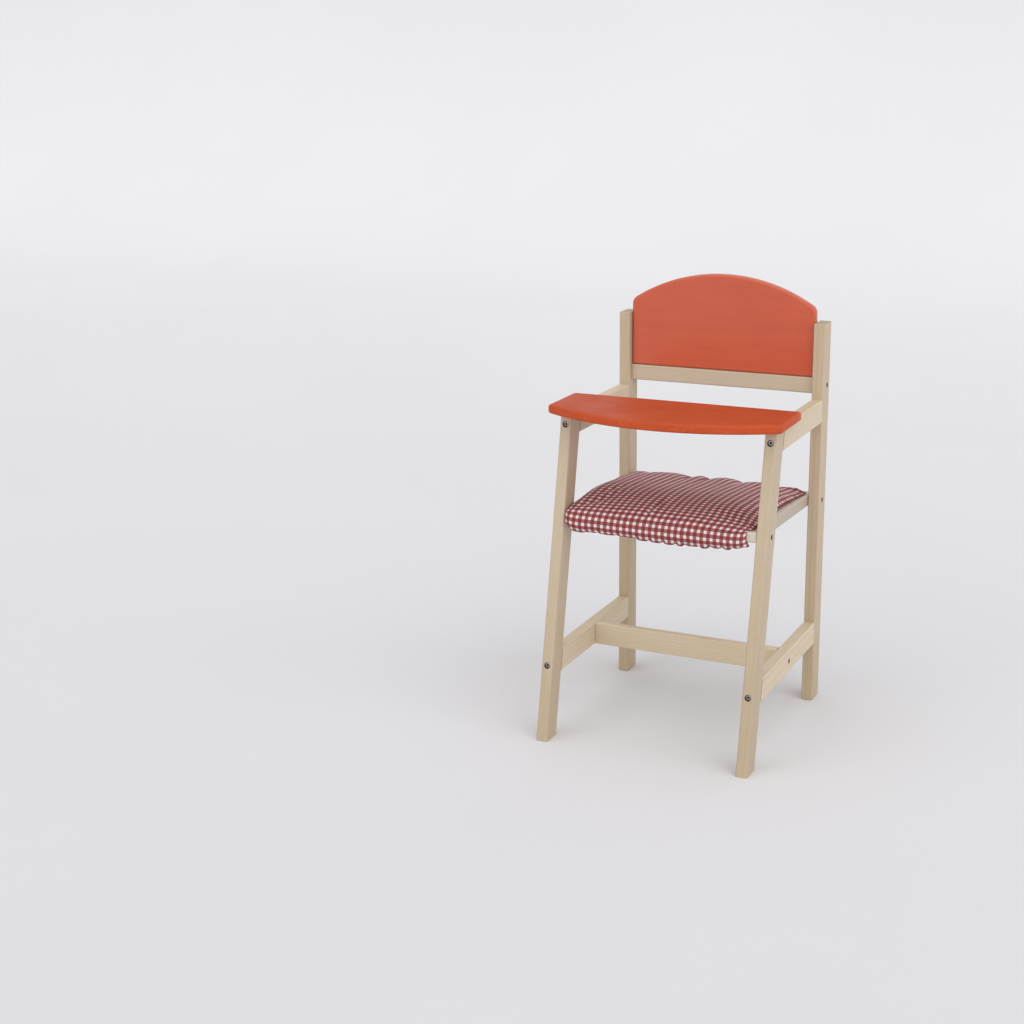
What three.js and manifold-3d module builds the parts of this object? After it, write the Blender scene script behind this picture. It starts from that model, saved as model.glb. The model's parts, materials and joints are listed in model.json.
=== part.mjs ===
// A doll's high chair: a bolted frame of plain wood, a red tray and back panel, and a checked seat cushion.
// Millimetres, +Z up. The origin is on the floor under the middle of the chair, and the tray side faces -Y.

import * as THREE from "three";
import { mergeVertices } from "three/addons/utils/BufferGeometryUtils.js";
import Module from "manifold-3d";

// Frame
const CHAIR_WIDTH = 262; // over the outer faces of the legs
const CHAIR_DEPTH = 280; // on the floor, front feet to the back of the posts
const STOCK_WIDTH = 14; // thickness of legs, posts, arms and stretchers, seen from the front
const LEG_DEPTH = 27; // of the front legs, square to their length
const LEG_SETBACK = 78; // how far the top of a front leg lies behind its foot
const POST_DEPTH = 27;
const POST_RISE = 66; // of the posts past the back rail
const POST_END_ROUND = 1.2;
const RAIL_HEIGHT = 28; // of arms, stretchers and crossbar
const ARM_TOP = 384; // also the top of the front legs
const STRETCHER_TOP = 103.5;
const CROSSBAR_THICKNESS = 10;
const EDGE_ROUND = 1.8; // along the edges of the plain wood
const JOINT_GAP = 0.3; // where two pieces of wood meet

// Back
const BACK_RAIL_SIZE = 19.5; // square section, flush with the back of the posts
const BACK_RAIL_RISE = 5.5; // above the arms
const PANEL_THICKNESS = 10.5;
const PANEL_SIDE = 81.5; // straight side of the panel, up to its shoulder
const PANEL_HEIGHT = 117; // in the middle, under the top of the arch
const PANEL_SHOULDER_ROUND = 11;
const PANEL_FOOT_ROUND = 3.5;
const PANEL_EDGE_ROUND = 2.6;

// Tray
const TRAY_OVERHANG = 10; // past the outer face of each leg
const TRAY_DEPTH = 116.5; // in the middle
const TRAY_SIDE = 75; // length of its straight ends
const TRAY_THICKNESS = 10.5;
const TRAY_REACH_BACK = 59.5; // from the front of the leg tops to its straight back edge
const TRAY_CORNER_ROUND = 6;
const TRAY_EDGE_ROUND = 3.2;

// Seat board
const SEAT_THICKNESS = 12.5;
const SEAT_FRONT_TOP = 271.5; // height of the board's top at its front edge
const SEAT_DROP = 8; // how much lower its back edge lies
const SEAT_FRONT_SETBACK = 2; // behind the front of the legs
const SEAT_REAR_SETBACK = 1.5; // in front of the back of the posts
const SEAT_EDGE_ROUND = 2.2;

// Cushion
const CUSHION_LEFT_GAP = 1; // between it and the left leg
const CUSHION_RIGHT_GAP = 6.5;
const BARE_BOARD = 18; // left uncovered behind it
const CUSHION_CROWN = 14; // above the board
const CUSHION_APRON = 8; // thickness in front of the board
const CUSHION_HEM = 8.5; // below the board
const CUSHION_POCKET = 45; // how far its flap reaches back under the board
const CUSHION_FLAP = 2; // thickness of that flap
const CUSHION_DRAW_IN = 5; // how far its ends pull in between their corners
const CUSHION_END_SHARE = 0.3; // padding left at the very ends
const CUSHION_END_POWER = 6; // higher is squarer ends
const CUSHION_GAP = 0.3; // between cushion and board
const CUSHION_TOP_SHARES = [
  [0, 0.28], // of its length back, and of its crown up
  [0.04, 0.52],
  [0.1, 0.68],
  [0.2, 0.85],
  [0.43, 1],
  [0.62, 0.93],
  [0.8, 0.86],
  [0.93, 0.76],
  [1, 0.55],
];

// Fasteners and dowels
const BOLT_HEAD_DIAMETER = 6.4;
const SCREW_HEAD_DIAMETER = 5;
const HEAD_LENGTH = 3;
const HEAD_SINK = 1.8; // how deep a head lies under the wood's face
const HEAD_CHAMFER = 0.6;
const BOLT_SOCKET_DIAMETER = 3.4; // over the corners of its six-sided socket
const SCREW_SOCKET_DIAMETER = 2.6;
const SOCKET_DEPTH = 2;
const TIP_LENGTH = 5;
const TIP_DIAMETER = 2;
const BOLT_LENGTH = 54;
const BOLT_DIAMETER = 5;
const SCREW_LENGTH = 35;
const SCREW_DIAMETER = 4;
const HOLE_CLEARANCE = 0.3; // round every shank and dowel
const HEAD_CLEARANCE = 0.5; // round every sunk head
const DOWEL_DIAMETER = 6;
const DOWEL_IN_FRAME = 9;
const DOWEL_IN_TRAY = 7;
const DOWEL_FROM_TRAY_BACK = 12;
const PANEL_DOWEL_DIAMETER = 5;
const PANEL_DOWEL_IN_FRAME = 8;
const PANEL_DOWEL_IN_PANEL = 12;
const PANEL_DOWEL_SPREAD = 130; // between the two under the panel
const PANEL_DOWEL_DROP = 30; // of the two in its sides, under the top of the posts
const DOWEL_CHAMFER = 0.8;
const OVERRUN = 5; // how far a cutting tool reaches past the wood

// Facets
const CORNER_COUNT = 4;
const FILLET_COUNT = 5;
const BOW_COUNT = 36;
const EDGE_COUNT = 4;
const HOLE_SIDE_COUNT = 18;
const TURNED_SIDE_COUNT = 18;
const SOCKET_SIDE_COUNT = 6;
const CUSHION_OUTLINE_COUNT = 36;
const CUSHION_STATION_COUNT = 20;

// Places that follow from the sizes
const OUTER_X = CHAIR_WIDTH / 2;
const INNER_X = OUTER_X - STOCK_WIDTH;
const FRONT_Y = -CHAIR_DEPTH / 2;
const BACK_Y = CHAIR_DEPTH / 2;
const POST_FRONT_Y = BACK_Y - POST_DEPTH;
const LEAN = Math.atan2(LEG_SETBACK, ARM_TOP);
const LEG_CUT_DEPTH = LEG_DEPTH / Math.cos(LEAN); // measured level
const ARM_MIDDLE = ARM_TOP - RAIL_HEIGHT / 2;
const STRETCHER_MIDDLE = STRETCHER_TOP - RAIL_HEIGHT / 2;
const BACK_RAIL_BOTTOM = ARM_TOP + BACK_RAIL_RISE;
const BACK_RAIL_TOP = BACK_RAIL_BOTTOM + BACK_RAIL_SIZE;
const POST_HEIGHT = BACK_RAIL_TOP + POST_RISE;
const BACK_RAIL_FRONT_Y = BACK_Y - BACK_RAIL_SIZE;
const SEAT_FRONT_Y = legFrontY(SEAT_FRONT_TOP - SEAT_THICKNESS / 2) + SEAT_FRONT_SETBACK;
const SEAT_REACH = BACK_Y - SEAT_REAR_SETBACK - SEAT_FRONT_Y;
const SEAT_TILT = Math.atan2(SEAT_DROP, SEAT_REACH);
const SEAT_LENGTH = SEAT_REACH / Math.cos(SEAT_TILT);
const CROSSBAR_Y = (legFrontY(STRETCHER_MIDDLE) + LEG_CUT_DEPTH + POST_FRONT_Y) / 2;
const PANEL_MIDDLE_Y = BACK_RAIL_FRONT_Y + PANEL_THICKNESS / 2;
const TRAY_WIDTH = CHAIR_WIDTH + 2 * TRAY_OVERHANG;
const TRAY_BACK_Y = legFrontY(ARM_TOP) + TRAY_REACH_BACK;
const CUSHION_WIDTH = 2 * INNER_X - CUSHION_LEFT_GAP - CUSHION_RIGHT_GAP;
const CUSHION_X = (CUSHION_LEFT_GAP - CUSHION_RIGHT_GAP) / 2;
const CUSHION_LENGTH = SEAT_LENGTH - BARE_BOARD; // back from the board's front edge
const CUT_SIZE = CHAIR_WIDTH + CHAIR_DEPTH + POST_HEIGHT; // of cutting blocks, larger than the chair
const SIDES = [
  { name: "left", sign: -1 },
  { name: "right", sign: 1 },
];

const wasm = await Module();
wasm.setup();

// How far forward the front and the middle of a front leg lie at a height.
function legFrontY(height) {
  return FRONT_Y + (LEG_SETBACK * height) / ARM_TOP;
}

function legMiddleY(height) {
  return legFrontY(height) + LEG_CUT_DEPTH / 2;
}

// Materials
const plainWood = { color: 0xd8c6a6, roughness: 0.6, metalness: 0 };
const darkerWood = { color: 0xcbb48e, roughness: 0.65, metalness: 0 };
const redPaint = { color: 0xc9502f, roughness: 0.35, metalness: 0 };
const checkedCotton = { color: 0xb4646a, roughness: 0.95, metalness: 0 };
const darkSteel = { color: 0x57504a, roughness: 0.4, metalness: 0.9 };
const zincSteel = { color: 0x9a8c6c, roughness: 0.45, metalness: 0.9 };
const dowelWood = { color: 0xd9bf92, roughness: 0.8, metalness: 0 };

function piece(name, geometry, finish) {
  const mesh = new THREE.Mesh(geometry, new THREE.MeshStandardMaterial(finish));
  mesh.name = name;
  return mesh;
}

// Joining and cutting of closed meshes
function solidOf(geometry) {
  const bare = geometry.clone();
  bare.deleteAttribute("normal");
  bare.deleteAttribute("uv");
  const merged = mergeVertices(bare);
  const mesh = new wasm.Mesh({
    numProp: 3,
    vertProperties: new Float32Array(merged.attributes.position.array),
    triVerts: new Uint32Array(merged.index.array),
  });
  return new wasm.Manifold(mesh);
}

function geometryOf(solid) {
  const mesh = solid.getMesh();
  const geometry = new THREE.BufferGeometry();
  geometry.setAttribute("position", new THREE.BufferAttribute(mesh.vertProperties, 3));
  geometry.setIndex(new THREE.BufferAttribute(mesh.triVerts, 1));
  geometry.computeVertexNormals();
  return geometry;
}

// Cuts a placed mesh with tools that are given in the chair's frame.
function carve(mesh, tools) {
  mesh.updateWorldMatrix(true, false);
  const toLocal = mesh.matrixWorld.clone().invert();
  let solid = solidOf(mesh.geometry);
  for (const tool of tools) {
    solid = solid.subtract(solidOf(tool.clone().applyMatrix4(toLocal)));
  }
  mesh.geometry = geometryOf(solid);
  return mesh;
}

// A straight round hole that starts at a point and runs along a direction.
function hole(start, direction, length, diameter) {
  const radius = diameter / 2;
  const tool = new THREE.CylinderGeometry(radius, radius, length, HOLE_SIDE_COUNT);
  tool.translate(0, length / 2, 0);
  tool.applyQuaternion(new THREE.Quaternion().setFromUnitVectors(new THREE.Vector3(0, 1, 0), direction));
  tool.translate(start.x, start.y, start.z);
  return tool;
}

// Everything above or below a height, as a cutting tool.
function levelCut(height, upward) {
  const tool = new THREE.BoxGeometry(CUT_SIZE, CUT_SIZE, CUT_SIZE);
  tool.translate(0, 0, height + (upward * CUT_SIZE) / 2);
  return tool;
}

// Everything in front of the back faces of the front legs, as a cutting tool.
function legBackCut() {
  const tool = new THREE.BoxGeometry(CUT_SIZE, CUT_SIZE, CUT_SIZE);
  tool.translate(0, -CUT_SIZE / 2, 0);
  tool.rotateX(-LEAN);
  tool.translate(0, FRONT_Y + LEG_CUT_DEPTH + JOINT_GAP / Math.cos(LEAN), 0);
  return tool;
}

// Outlines
function arc(centreX, centreY, radius, from, to, count) {
  return new THREE.EllipseCurve(centreX, centreY, radius, radius, from, to, from > to).getPoints(count);
}

function roundedRectangle(width, height, radius) {
  const x = width / 2 - radius;
  const y = height / 2 - radius;
  const quarter = Math.PI / 2;
  return new THREE.Shape([
    ...arc(x, y, radius, 0, quarter, CORNER_COUNT),
    ...arc(-x, y, radius, quarter, 2 * quarter, CORNER_COUNT),
    ...arc(-x, -y, radius, 2 * quarter, 3 * quarter, CORNER_COUNT),
    ...arc(x, -y, radius, 3 * quarter, 4 * quarter, CORNER_COUNT),
  ]);
}

// A board with a straight foot on y = 0, straight sides and a bowed head. The bow is one arc through
// the tops of the two sides and the crown, and each shoulder is a round inside that arc.
function bowedOutline(width, side, height, shoulderRound, footRound) {
  const half = width / 2;
  const rise = height - side;
  const radius = (half * half + rise * rise) / (2 * rise);
  const bowY = height - radius;
  const shoulderX = half - shoulderRound;
  const shoulderY = bowY + Math.sqrt((radius - shoulderRound) ** 2 - shoulderX ** 2);
  const spread = Math.atan2(shoulderY - bowY, shoulderX);
  const quarter = Math.PI / 2;
  return new THREE.Shape([
    ...arc(shoulderX, shoulderY, shoulderRound, 0, spread, FILLET_COUNT).slice(0, -1),
    ...arc(0, bowY, radius, spread, Math.PI - spread, BOW_COUNT),
    ...arc(-shoulderX, shoulderY, shoulderRound, Math.PI - spread, Math.PI, FILLET_COUNT).slice(1),
    ...arc(-half + footRound, footRound, footRound, 2 * quarter, 3 * quarter, FILLET_COUNT),
    ...arc(half - footRound, footRound, footRound, 3 * quarter, 4 * quarter, FILLET_COUNT),
  ]);
}

// A bar along +Z with crisp ends, and a board along +Z whose edges are rounded all the way.
function bar(outline, length) {
  return new THREE.ExtrudeGeometry(outline, { depth: length, bevelEnabled: false });
}

function board(outline, thickness, round) {
  const geometry = new THREE.ExtrudeGeometry(outline, {
    depth: thickness - 2 * round,
    bevelThickness: round,
    bevelSize: round,
    bevelOffset: -round,
    bevelSegments: EDGE_COUNT,
  });
  geometry.translate(0, 0, round);
  return geometry;
}

// Fasteners and dowels, turned about Y with the outer end of the head or dowel at y = 0
const BOLT = {
  length: BOLT_LENGTH,
  diameter: BOLT_DIAMETER,
  headDiameter: BOLT_HEAD_DIAMETER,
  socketDiameter: BOLT_SOCKET_DIAMETER,
  finish: darkSteel,
};
const SCREW = {
  length: SCREW_LENGTH,
  diameter: SCREW_DIAMETER,
  headDiameter: SCREW_HEAD_DIAMETER,
  socketDiameter: SCREW_SOCKET_DIAMETER,
  finish: zincSteel,
};
const TRAY_DOWEL = { back: DOWEL_IN_FRAME, forward: DOWEL_IN_TRAY, diameter: DOWEL_DIAMETER };
const PANEL_DOWEL = {
  back: PANEL_DOWEL_IN_FRAME,
  forward: PANEL_DOWEL_IN_PANEL,
  diameter: PANEL_DOWEL_DIAMETER,
};

function fastenerGeometry({ length, diameter, headDiameter, socketDiameter }) {
  const head = headDiameter / 2;
  const shank = diameter / 2;
  const profile = [
    new THREE.Vector2(0, -length),
    new THREE.Vector2(TIP_DIAMETER / 2, -length),
    new THREE.Vector2(shank, TIP_LENGTH - length),
    new THREE.Vector2(shank, shank - head - HEAD_LENGTH),
    new THREE.Vector2(head, -HEAD_LENGTH),
    new THREE.Vector2(head, -HEAD_CHAMFER),
    new THREE.Vector2(head - HEAD_CHAMFER, 0),
    new THREE.Vector2(0, 0),
  ];
  const turned = new THREE.LatheGeometry(profile, TURNED_SIDE_COUNT);
  const socketRadius = socketDiameter / 2;
  const socketLength = 2 * SOCKET_DEPTH;
  const socket = new THREE.CylinderGeometry(socketRadius, socketRadius, socketLength, SOCKET_SIDE_COUNT);
  return geometryOf(solidOf(turned).subtract(solidOf(socket)));
}

function dowelGeometry(length, diameter) {
  const radius = diameter / 2;
  const profile = [
    new THREE.Vector2(0, -length),
    new THREE.Vector2(radius - DOWEL_CHAMFER, -length),
    new THREE.Vector2(radius, DOWEL_CHAMFER - length),
    new THREE.Vector2(radius, -DOWEL_CHAMFER),
    new THREE.Vector2(radius - DOWEL_CHAMFER, 0),
    new THREE.Vector2(0, 0),
  ];
  return new THREE.LatheGeometry(profile, TURNED_SIDE_COUNT);
}

// Puts a turned piece at a point, with its far end along a direction.
function aim(mesh, start, direction) {
  mesh.position.copy(start);
  mesh.quaternion.setFromUnitVectors(new THREE.Vector3(0, -1, 0), direction);
  return mesh;
}

// A sunk fastener: the mesh, the holes for its head and shank, all from the point where it enters the wood.
function sunkFastener(name, kind, mouth, direction) {
  const headFace = mouth.clone().addScaledVector(direction, HEAD_SINK);
  const outside = mouth.clone().addScaledVector(direction, -OVERRUN);
  const headHole = OVERRUN + HEAD_SINK + HEAD_LENGTH + kind.headDiameter / 2 - kind.diameter / 2;
  return {
    mesh: aim(piece(name, fastenerGeometry(kind), kind.finish), headFace, direction),
    holes: [
      hole(outside, direction, headHole + HOLE_CLEARANCE, kind.headDiameter + 2 * HEAD_CLEARANCE),
      hole(headFace, direction, kind.length + HOLE_CLEARANCE, kind.diameter + 2 * HOLE_CLEARANCE),
    ],
  };
}

// A dowel across a joint face, reaching back by one length and forward by another.
function jointDowel(name, face, direction, { back, forward, diameter }) {
  const start = face.clone().addScaledVector(direction, -back);
  const holeStart = start.clone().addScaledVector(direction, -HOLE_CLEARANCE);
  const length = back + forward;
  return {
    mesh: aim(piece(name, dowelGeometry(length, diameter), dowelWood), start, direction),
    holes: [hole(holeStart, direction, length + 2 * HOLE_CLEARANCE, diameter + 2 * HOLE_CLEARANCE)],
  };
}

const AXIS = {
  back: new THREE.Vector3(0, 1, 0),
  front: new THREE.Vector3(0, -1, 0),
  up: new THREE.Vector3(0, 0, 1),
};

// The point at half the seat board's thickness that lies in the middle of a leg or post. The middle of that
// leg or post is at middleY beside the board's front edge, and moves back by slope for each unit of height.
function seatScrewPlace(middleY, slope) {
  const half = -SEAT_THICKNESS / 2;
  const startY = SEAT_FRONT_Y + half * Math.sin(SEAT_TILT);
  const startZ = SEAT_FRONT_TOP + half * Math.cos(SEAT_TILT);
  const ahead = middleY + slope * (startZ - SEAT_FRONT_TOP) - startY;
  const along = ahead / (Math.cos(SEAT_TILT) + slope * Math.sin(SEAT_TILT));
  return { y: startY + along * Math.cos(SEAT_TILT), z: startZ - along * Math.sin(SEAT_TILT) };
}

// All fasteners and dowels of one side of the chair
function sideHardware({ name, sign }) {
  const middleX = sign * (INNER_X + STOCK_WIDTH / 2);
  const inward = new THREE.Vector3(-sign, 0, 0);
  const frontBolt = (label, z) => {
    const mouth = new THREE.Vector3(middleX, legFrontY(z), z);
    return sunkFastener(`${label}_${name}`, BOLT, mouth, AXIS.back);
  };
  const rearBolt = (label, z) => {
    const mouth = new THREE.Vector3(middleX, BACK_Y, z);
    return sunkFastener(`${label}_${name}`, BOLT, mouth, AXIS.front);
  };
  const sideScrew = (label, { y, z }) => {
    const mouth = new THREE.Vector3(sign * OUTER_X, y, z);
    return sunkFastener(`${label}_${name}`, SCREW, mouth, inward);
  };
  const trayDowel = (label, y) => {
    const face = new THREE.Vector3(middleX, y, ARM_TOP);
    return jointDowel(`${label}_${name}`, face, AXIS.up, TRAY_DOWEL);
  };
  const panelDowel = (label, x, z, direction) => {
    const face = new THREE.Vector3(sign * x, PANEL_MIDDLE_Y, z);
    return jointDowel(`${label}_${name}`, face, direction, PANEL_DOWEL);
  };
  const legPlace = seatScrewPlace(legMiddleY(SEAT_FRONT_TOP), LEG_SETBACK / ARM_TOP);
  const postPlace = seatScrewPlace(BACK_Y - POST_DEPTH / 2, 0);
  const railMiddle = BACK_RAIL_SIZE / 2;
  const railPlace = { y: BACK_RAIL_FRONT_Y + railMiddle, z: BACK_RAIL_BOTTOM + railMiddle };
  return {
    armFront: frontBolt("arm_bolt_front", ARM_MIDDLE),
    armRear: rearBolt("arm_bolt_rear", ARM_MIDDLE),
    stretcherFront: frontBolt("stretcher_bolt_front", STRETCHER_MIDDLE),
    stretcherRear: rearBolt("stretcher_bolt_rear", STRETCHER_MIDDLE),
    seatFront: sideScrew("seat_screw_front", legPlace),
    seatRear: sideScrew("seat_screw_rear", postPlace),
    backRail: sideScrew("back_rail_screw", railPlace),
    crossbar: sideScrew("crossbar_screw", { y: CROSSBAR_Y, z: STRETCHER_MIDDLE }),
    trayFront: trayDowel("tray_dowel_front", legMiddleY(ARM_TOP)),
    trayRear: trayDowel("tray_dowel_rear", TRAY_BACK_Y - DOWEL_FROM_TRAY_BACK),
    panelSide: panelDowel("panel_side_dowel", INNER_X, POST_HEIGHT - PANEL_DOWEL_DROP, inward),
    panelBase: panelDowel("panel_base_dowel", PANEL_DOWEL_SPREAD / 2, BACK_RAIL_TOP, AXIS.up),
  };
}

// Frame pieces
function frontLeg({ name, sign }, hardware) {
  const length = ARM_TOP / Math.cos(LEAN) + 2 * LEG_DEPTH;
  const geometry = bar(roundedRectangle(STOCK_WIDTH, LEG_DEPTH, EDGE_ROUND), length);
  geometry.translate(0, 0, -LEG_DEPTH);
  const mesh = piece(`front_leg_${name}`, geometry, plainWood);
  mesh.position.set(sign * (INNER_X + STOCK_WIDTH / 2), FRONT_Y + LEG_CUT_DEPTH / 2, 0);
  mesh.rotation.x = -LEAN;
  const { armFront, stretcherFront, seatFront, trayFront } = hardware;
  const holes = [armFront, stretcherFront, seatFront, trayFront].flatMap((item) => item.holes);
  return carve(mesh, [levelCut(0, -1), levelCut(ARM_TOP, 1), ...holes]);
}

function rearPost({ name, sign }, hardware) {
  const outline = roundedRectangle(STOCK_WIDTH, POST_DEPTH, EDGE_ROUND);
  const mesh = piece(`rear_post_${name}`, board(outline, POST_HEIGHT, POST_END_ROUND), plainWood);
  mesh.position.set(sign * (INNER_X + STOCK_WIDTH / 2), BACK_Y - POST_DEPTH / 2, 0);
  const { armRear, stretcherRear, seatRear, backRail, panelSide } = hardware;
  return carve(mesh, [armRear, stretcherRear, seatRear, backRail, panelSide].flatMap((item) => item.holes));
}

// A rail from the sloping back of a front leg to the front of a rear post.
function sideRail(label, { name, sign }, middle, items) {
  const start = FRONT_Y;
  const length = POST_FRONT_Y - JOINT_GAP - start;
  const geometry = bar(roundedRectangle(STOCK_WIDTH, RAIL_HEIGHT, EDGE_ROUND), length);
  geometry.rotateX(Math.PI / 2);
  geometry.translate(0, length, 0);
  const mesh = piece(`${label}_${name}`, geometry, plainWood);
  mesh.position.set(sign * (INNER_X + STOCK_WIDTH / 2), start, middle);
  return carve(mesh, [legBackCut(), ...items.flatMap((item) => item.holes)]);
}

// A bar between the two sides of the chair, with its middle at a place.
function crossPiece(name, outline, y, z, finish) {
  const length = 2 * (INNER_X - JOINT_GAP);
  const geometry = bar(outline, length);
  geometry.rotateY(Math.PI / 2);
  geometry.translate(-length / 2, 0, 0);
  const mesh = piece(name, geometry, finish);
  mesh.position.set(0, y, z);
  return mesh;
}

function crossbar(items) {
  const outline = roundedRectangle(RAIL_HEIGHT, CROSSBAR_THICKNESS, EDGE_ROUND);
  const mesh = crossPiece("crossbar", outline, CROSSBAR_Y, STRETCHER_MIDDLE, plainWood);
  return carve(mesh, items.flatMap((item) => item.holes));
}

function backRail(items) {
  const outline = roundedRectangle(BACK_RAIL_SIZE, BACK_RAIL_SIZE, EDGE_ROUND);
  const y = BACK_RAIL_FRONT_Y + BACK_RAIL_SIZE / 2;
  const z = BACK_RAIL_BOTTOM + BACK_RAIL_SIZE / 2;
  const mesh = crossPiece("back_rail", outline, y, z, darkerWood);
  return carve(mesh, items.flatMap((item) => item.holes));
}

// Red boards
function backPanel(items) {
  const width = 2 * (INNER_X - JOINT_GAP);
  const outline = bowedOutline(width, PANEL_SIDE, PANEL_HEIGHT, PANEL_SHOULDER_ROUND, PANEL_FOOT_ROUND);
  const geometry = board(outline, PANEL_THICKNESS, PANEL_EDGE_ROUND);
  geometry.rotateX(Math.PI / 2);
  geometry.translate(0, PANEL_THICKNESS, 0);
  const mesh = piece("back_panel", geometry, redPaint);
  mesh.position.set(0, BACK_RAIL_FRONT_Y, BACK_RAIL_TOP + JOINT_GAP);
  return carve(mesh, items.flatMap((item) => item.holes));
}

function tray(items) {
  const outline = bowedOutline(TRAY_WIDTH, TRAY_SIDE, TRAY_DEPTH, TRAY_CORNER_ROUND, TRAY_CORNER_ROUND);
  const mesh = piece("tray", board(outline, TRAY_THICKNESS, TRAY_EDGE_ROUND), redPaint);
  mesh.rotation.z = Math.PI;
  mesh.position.set(0, TRAY_BACK_Y, ARM_TOP + JOINT_GAP);
  return carve(mesh, items.flatMap((item) => item.holes));
}

// Seat, in a group whose origin is the top of the board's front edge: +Y runs back along the tilted board
const seat = new THREE.Group();
seat.position.set(0, SEAT_FRONT_Y, SEAT_FRONT_TOP);
seat.rotation.x = -SEAT_TILT;

function seatBoard(items) {
  const outline = roundedRectangle(SEAT_THICKNESS, SEAT_LENGTH, SEAT_EDGE_ROUND);
  const mesh = crossPiece("seat_board", outline, SEAT_LENGTH / 2, -SEAT_THICKNESS / 2, darkerWood);
  seat.add(mesh);
  return carve(mesh, items.flatMap((item) => item.holes));
}

// The cushion's skin in a section from front to back: along the board, and above its top. It starts at the
// end of the flap under the board, goes round the hem and over the crown, and ends under the back edge.
function cushionSkin() {
  const under = -SEAT_THICKNESS - CUSHION_GAP;
  const front = -CUSHION_GAP - CUSHION_APRON;
  const flap = under - CUSHION_FLAP;
  const knots = [
    [CUSHION_POCKET, flap],
    [CUSHION_POCKET / 2, flap],
    [CUSHION_APRON, flap - CUSHION_FLAP / 2],
    [0, under - CUSHION_HEM],
    [front / 2, under - CUSHION_HEM],
    [front, -SEAT_THICKNESS],
    [front - CUSHION_FLAP / 2, -SEAT_THICKNESS / 2],
    ...CUSHION_TOP_SHARES.map(([along, above]) => [along * CUSHION_LENGTH, above * CUSHION_CROWN]),
    [CUSHION_LENGTH - CUSHION_FLAP, CUSHION_GAP],
  ];
  const curve = new THREE.SplineCurve(knots.map(([along, above]) => new THREE.Vector2(along, above)));
  return curve.getPoints(CUSHION_OUTLINE_COUNT);
}

// The point of the cushion's inside that backs a point of its skin.
function cushionInside(point) {
  const low = -SEAT_THICKNESS - CUSHION_GAP;
  if (point.x < 0) {
    return new THREE.Vector2(-CUSHION_GAP, Math.min(Math.max(point.y, low), CUSHION_GAP));
  }
  return new THREE.Vector2(point.x, point.y > 0 ? CUSHION_GAP : low);
}

// One closed section at a place across the seat, from -1 at the left end to 1 at the right end.
// The padding thins towards the ends, and the ends draw in between the front and back corners.
function cushionSection(place) {
  const fade = Math.sqrt(1 - Math.abs(place) ** CUSHION_END_POWER);
  const padding = CUSHION_END_SHARE + (1 - CUSHION_END_SHARE) * fade;
  const low = -SEAT_THICKNESS - CUSHION_GAP;
  const skin = cushionSkin().map((point) => cushionInside(point).lerp(point, padding));
  const inside = [
    new THREE.Vector2(-CUSHION_GAP, CUSHION_GAP),
    new THREE.Vector2(-CUSHION_GAP, low),
    new THREE.Vector2(CUSHION_POCKET, low),
  ];
  return [...skin, ...inside].map(({ x: along, y: above }) => {
    const share = Math.min(Math.max(along / CUSHION_LENGTH, 0), 1);
    const half = CUSHION_WIDTH / 2 - CUSHION_DRAW_IN * Math.sin(Math.PI * share);
    return new THREE.Vector3(place * half, along, above);
  });
}

function seatCushion() {
  const places = [];
  for (let i = 0; i <= CUSHION_STATION_COUNT; i += 1) {
    places.push(-Math.cos((Math.PI * i) / CUSHION_STATION_COUNT));
  }
  const sections = places.map(cushionSection);
  const count = sections[0].length;
  const faces = [];
  for (let i = 0; i + 1 < sections.length; i += 1) {
    for (let j = 0; j < count; j += 1) {
      const here = i * count + j;
      const next = i * count + ((j + 1) % count);
      faces.push(here, here + count, next, next, here + count, next + count);
    }
  }
  const last = (sections.length - 1) * count;
  const endOutline = sections[0].map(({ y, z }) => new THREE.Vector2(y, z));
  for (const [a, b, c] of THREE.ShapeUtils.triangulateShape(endOutline, [])) {
    faces.push(c, b, a, last + a, last + b, last + c);
  }
  const geometry = new THREE.BufferGeometry().setFromPoints(sections.flat());
  geometry.setIndex(faces);
  geometry.computeVertexNormals();
  const mesh = piece("seat_cushion", geometry, checkedCotton);
  mesh.position.set(CUSHION_X, 0, 0);
  seat.add(mesh);
}

// The chair
const chair = new THREE.Group();
chair.name = "doll_high_chair";
chair.add(seat);
const hardware = SIDES.map(sideHardware);

SIDES.forEach((side, index) => {
  const items = hardware[index];
  const armItems = [items.armFront, items.armRear, items.trayRear];
  const stretcherItems = [items.stretcherFront, items.stretcherRear, items.crossbar];
  chair.add(
    frontLeg(side, items),
    rearPost(side, items),
    sideRail("arm_rail", side, ARM_MIDDLE, armItems),
    sideRail("side_stretcher", side, STRETCHER_MIDDLE, stretcherItems),
    ...Object.values(items).map((item) => item.mesh),
  );
});

chair.add(
  crossbar(hardware.map((items) => items.crossbar)),
  backRail(hardware.flatMap((items) => [items.backRail, items.panelBase])),
  backPanel(hardware.flatMap((items) => [items.panelSide, items.panelBase])),
  tray(hardware.flatMap((items) => [items.trayFront, items.trayRear])),
);
seatBoard(hardware.flatMap((items) => [items.seatFront, items.seatRear]));
seatCushion();

export default chair;
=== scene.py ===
"""Looks of a doll's high chair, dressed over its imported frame.

Metres, +Z up, and the tray side faces -Y. The plain wood, the steel and the dowels keep the frame's own
nodes. The two red boards and the stuffed seat cushion are new surfaces, each a function of two
parameters worked out with numpy.
"""

import json
import logging
import math
from dataclasses import dataclass
from enum import Enum

import bpy
import numpy as np
from mathutils import Matrix, Vector

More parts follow.
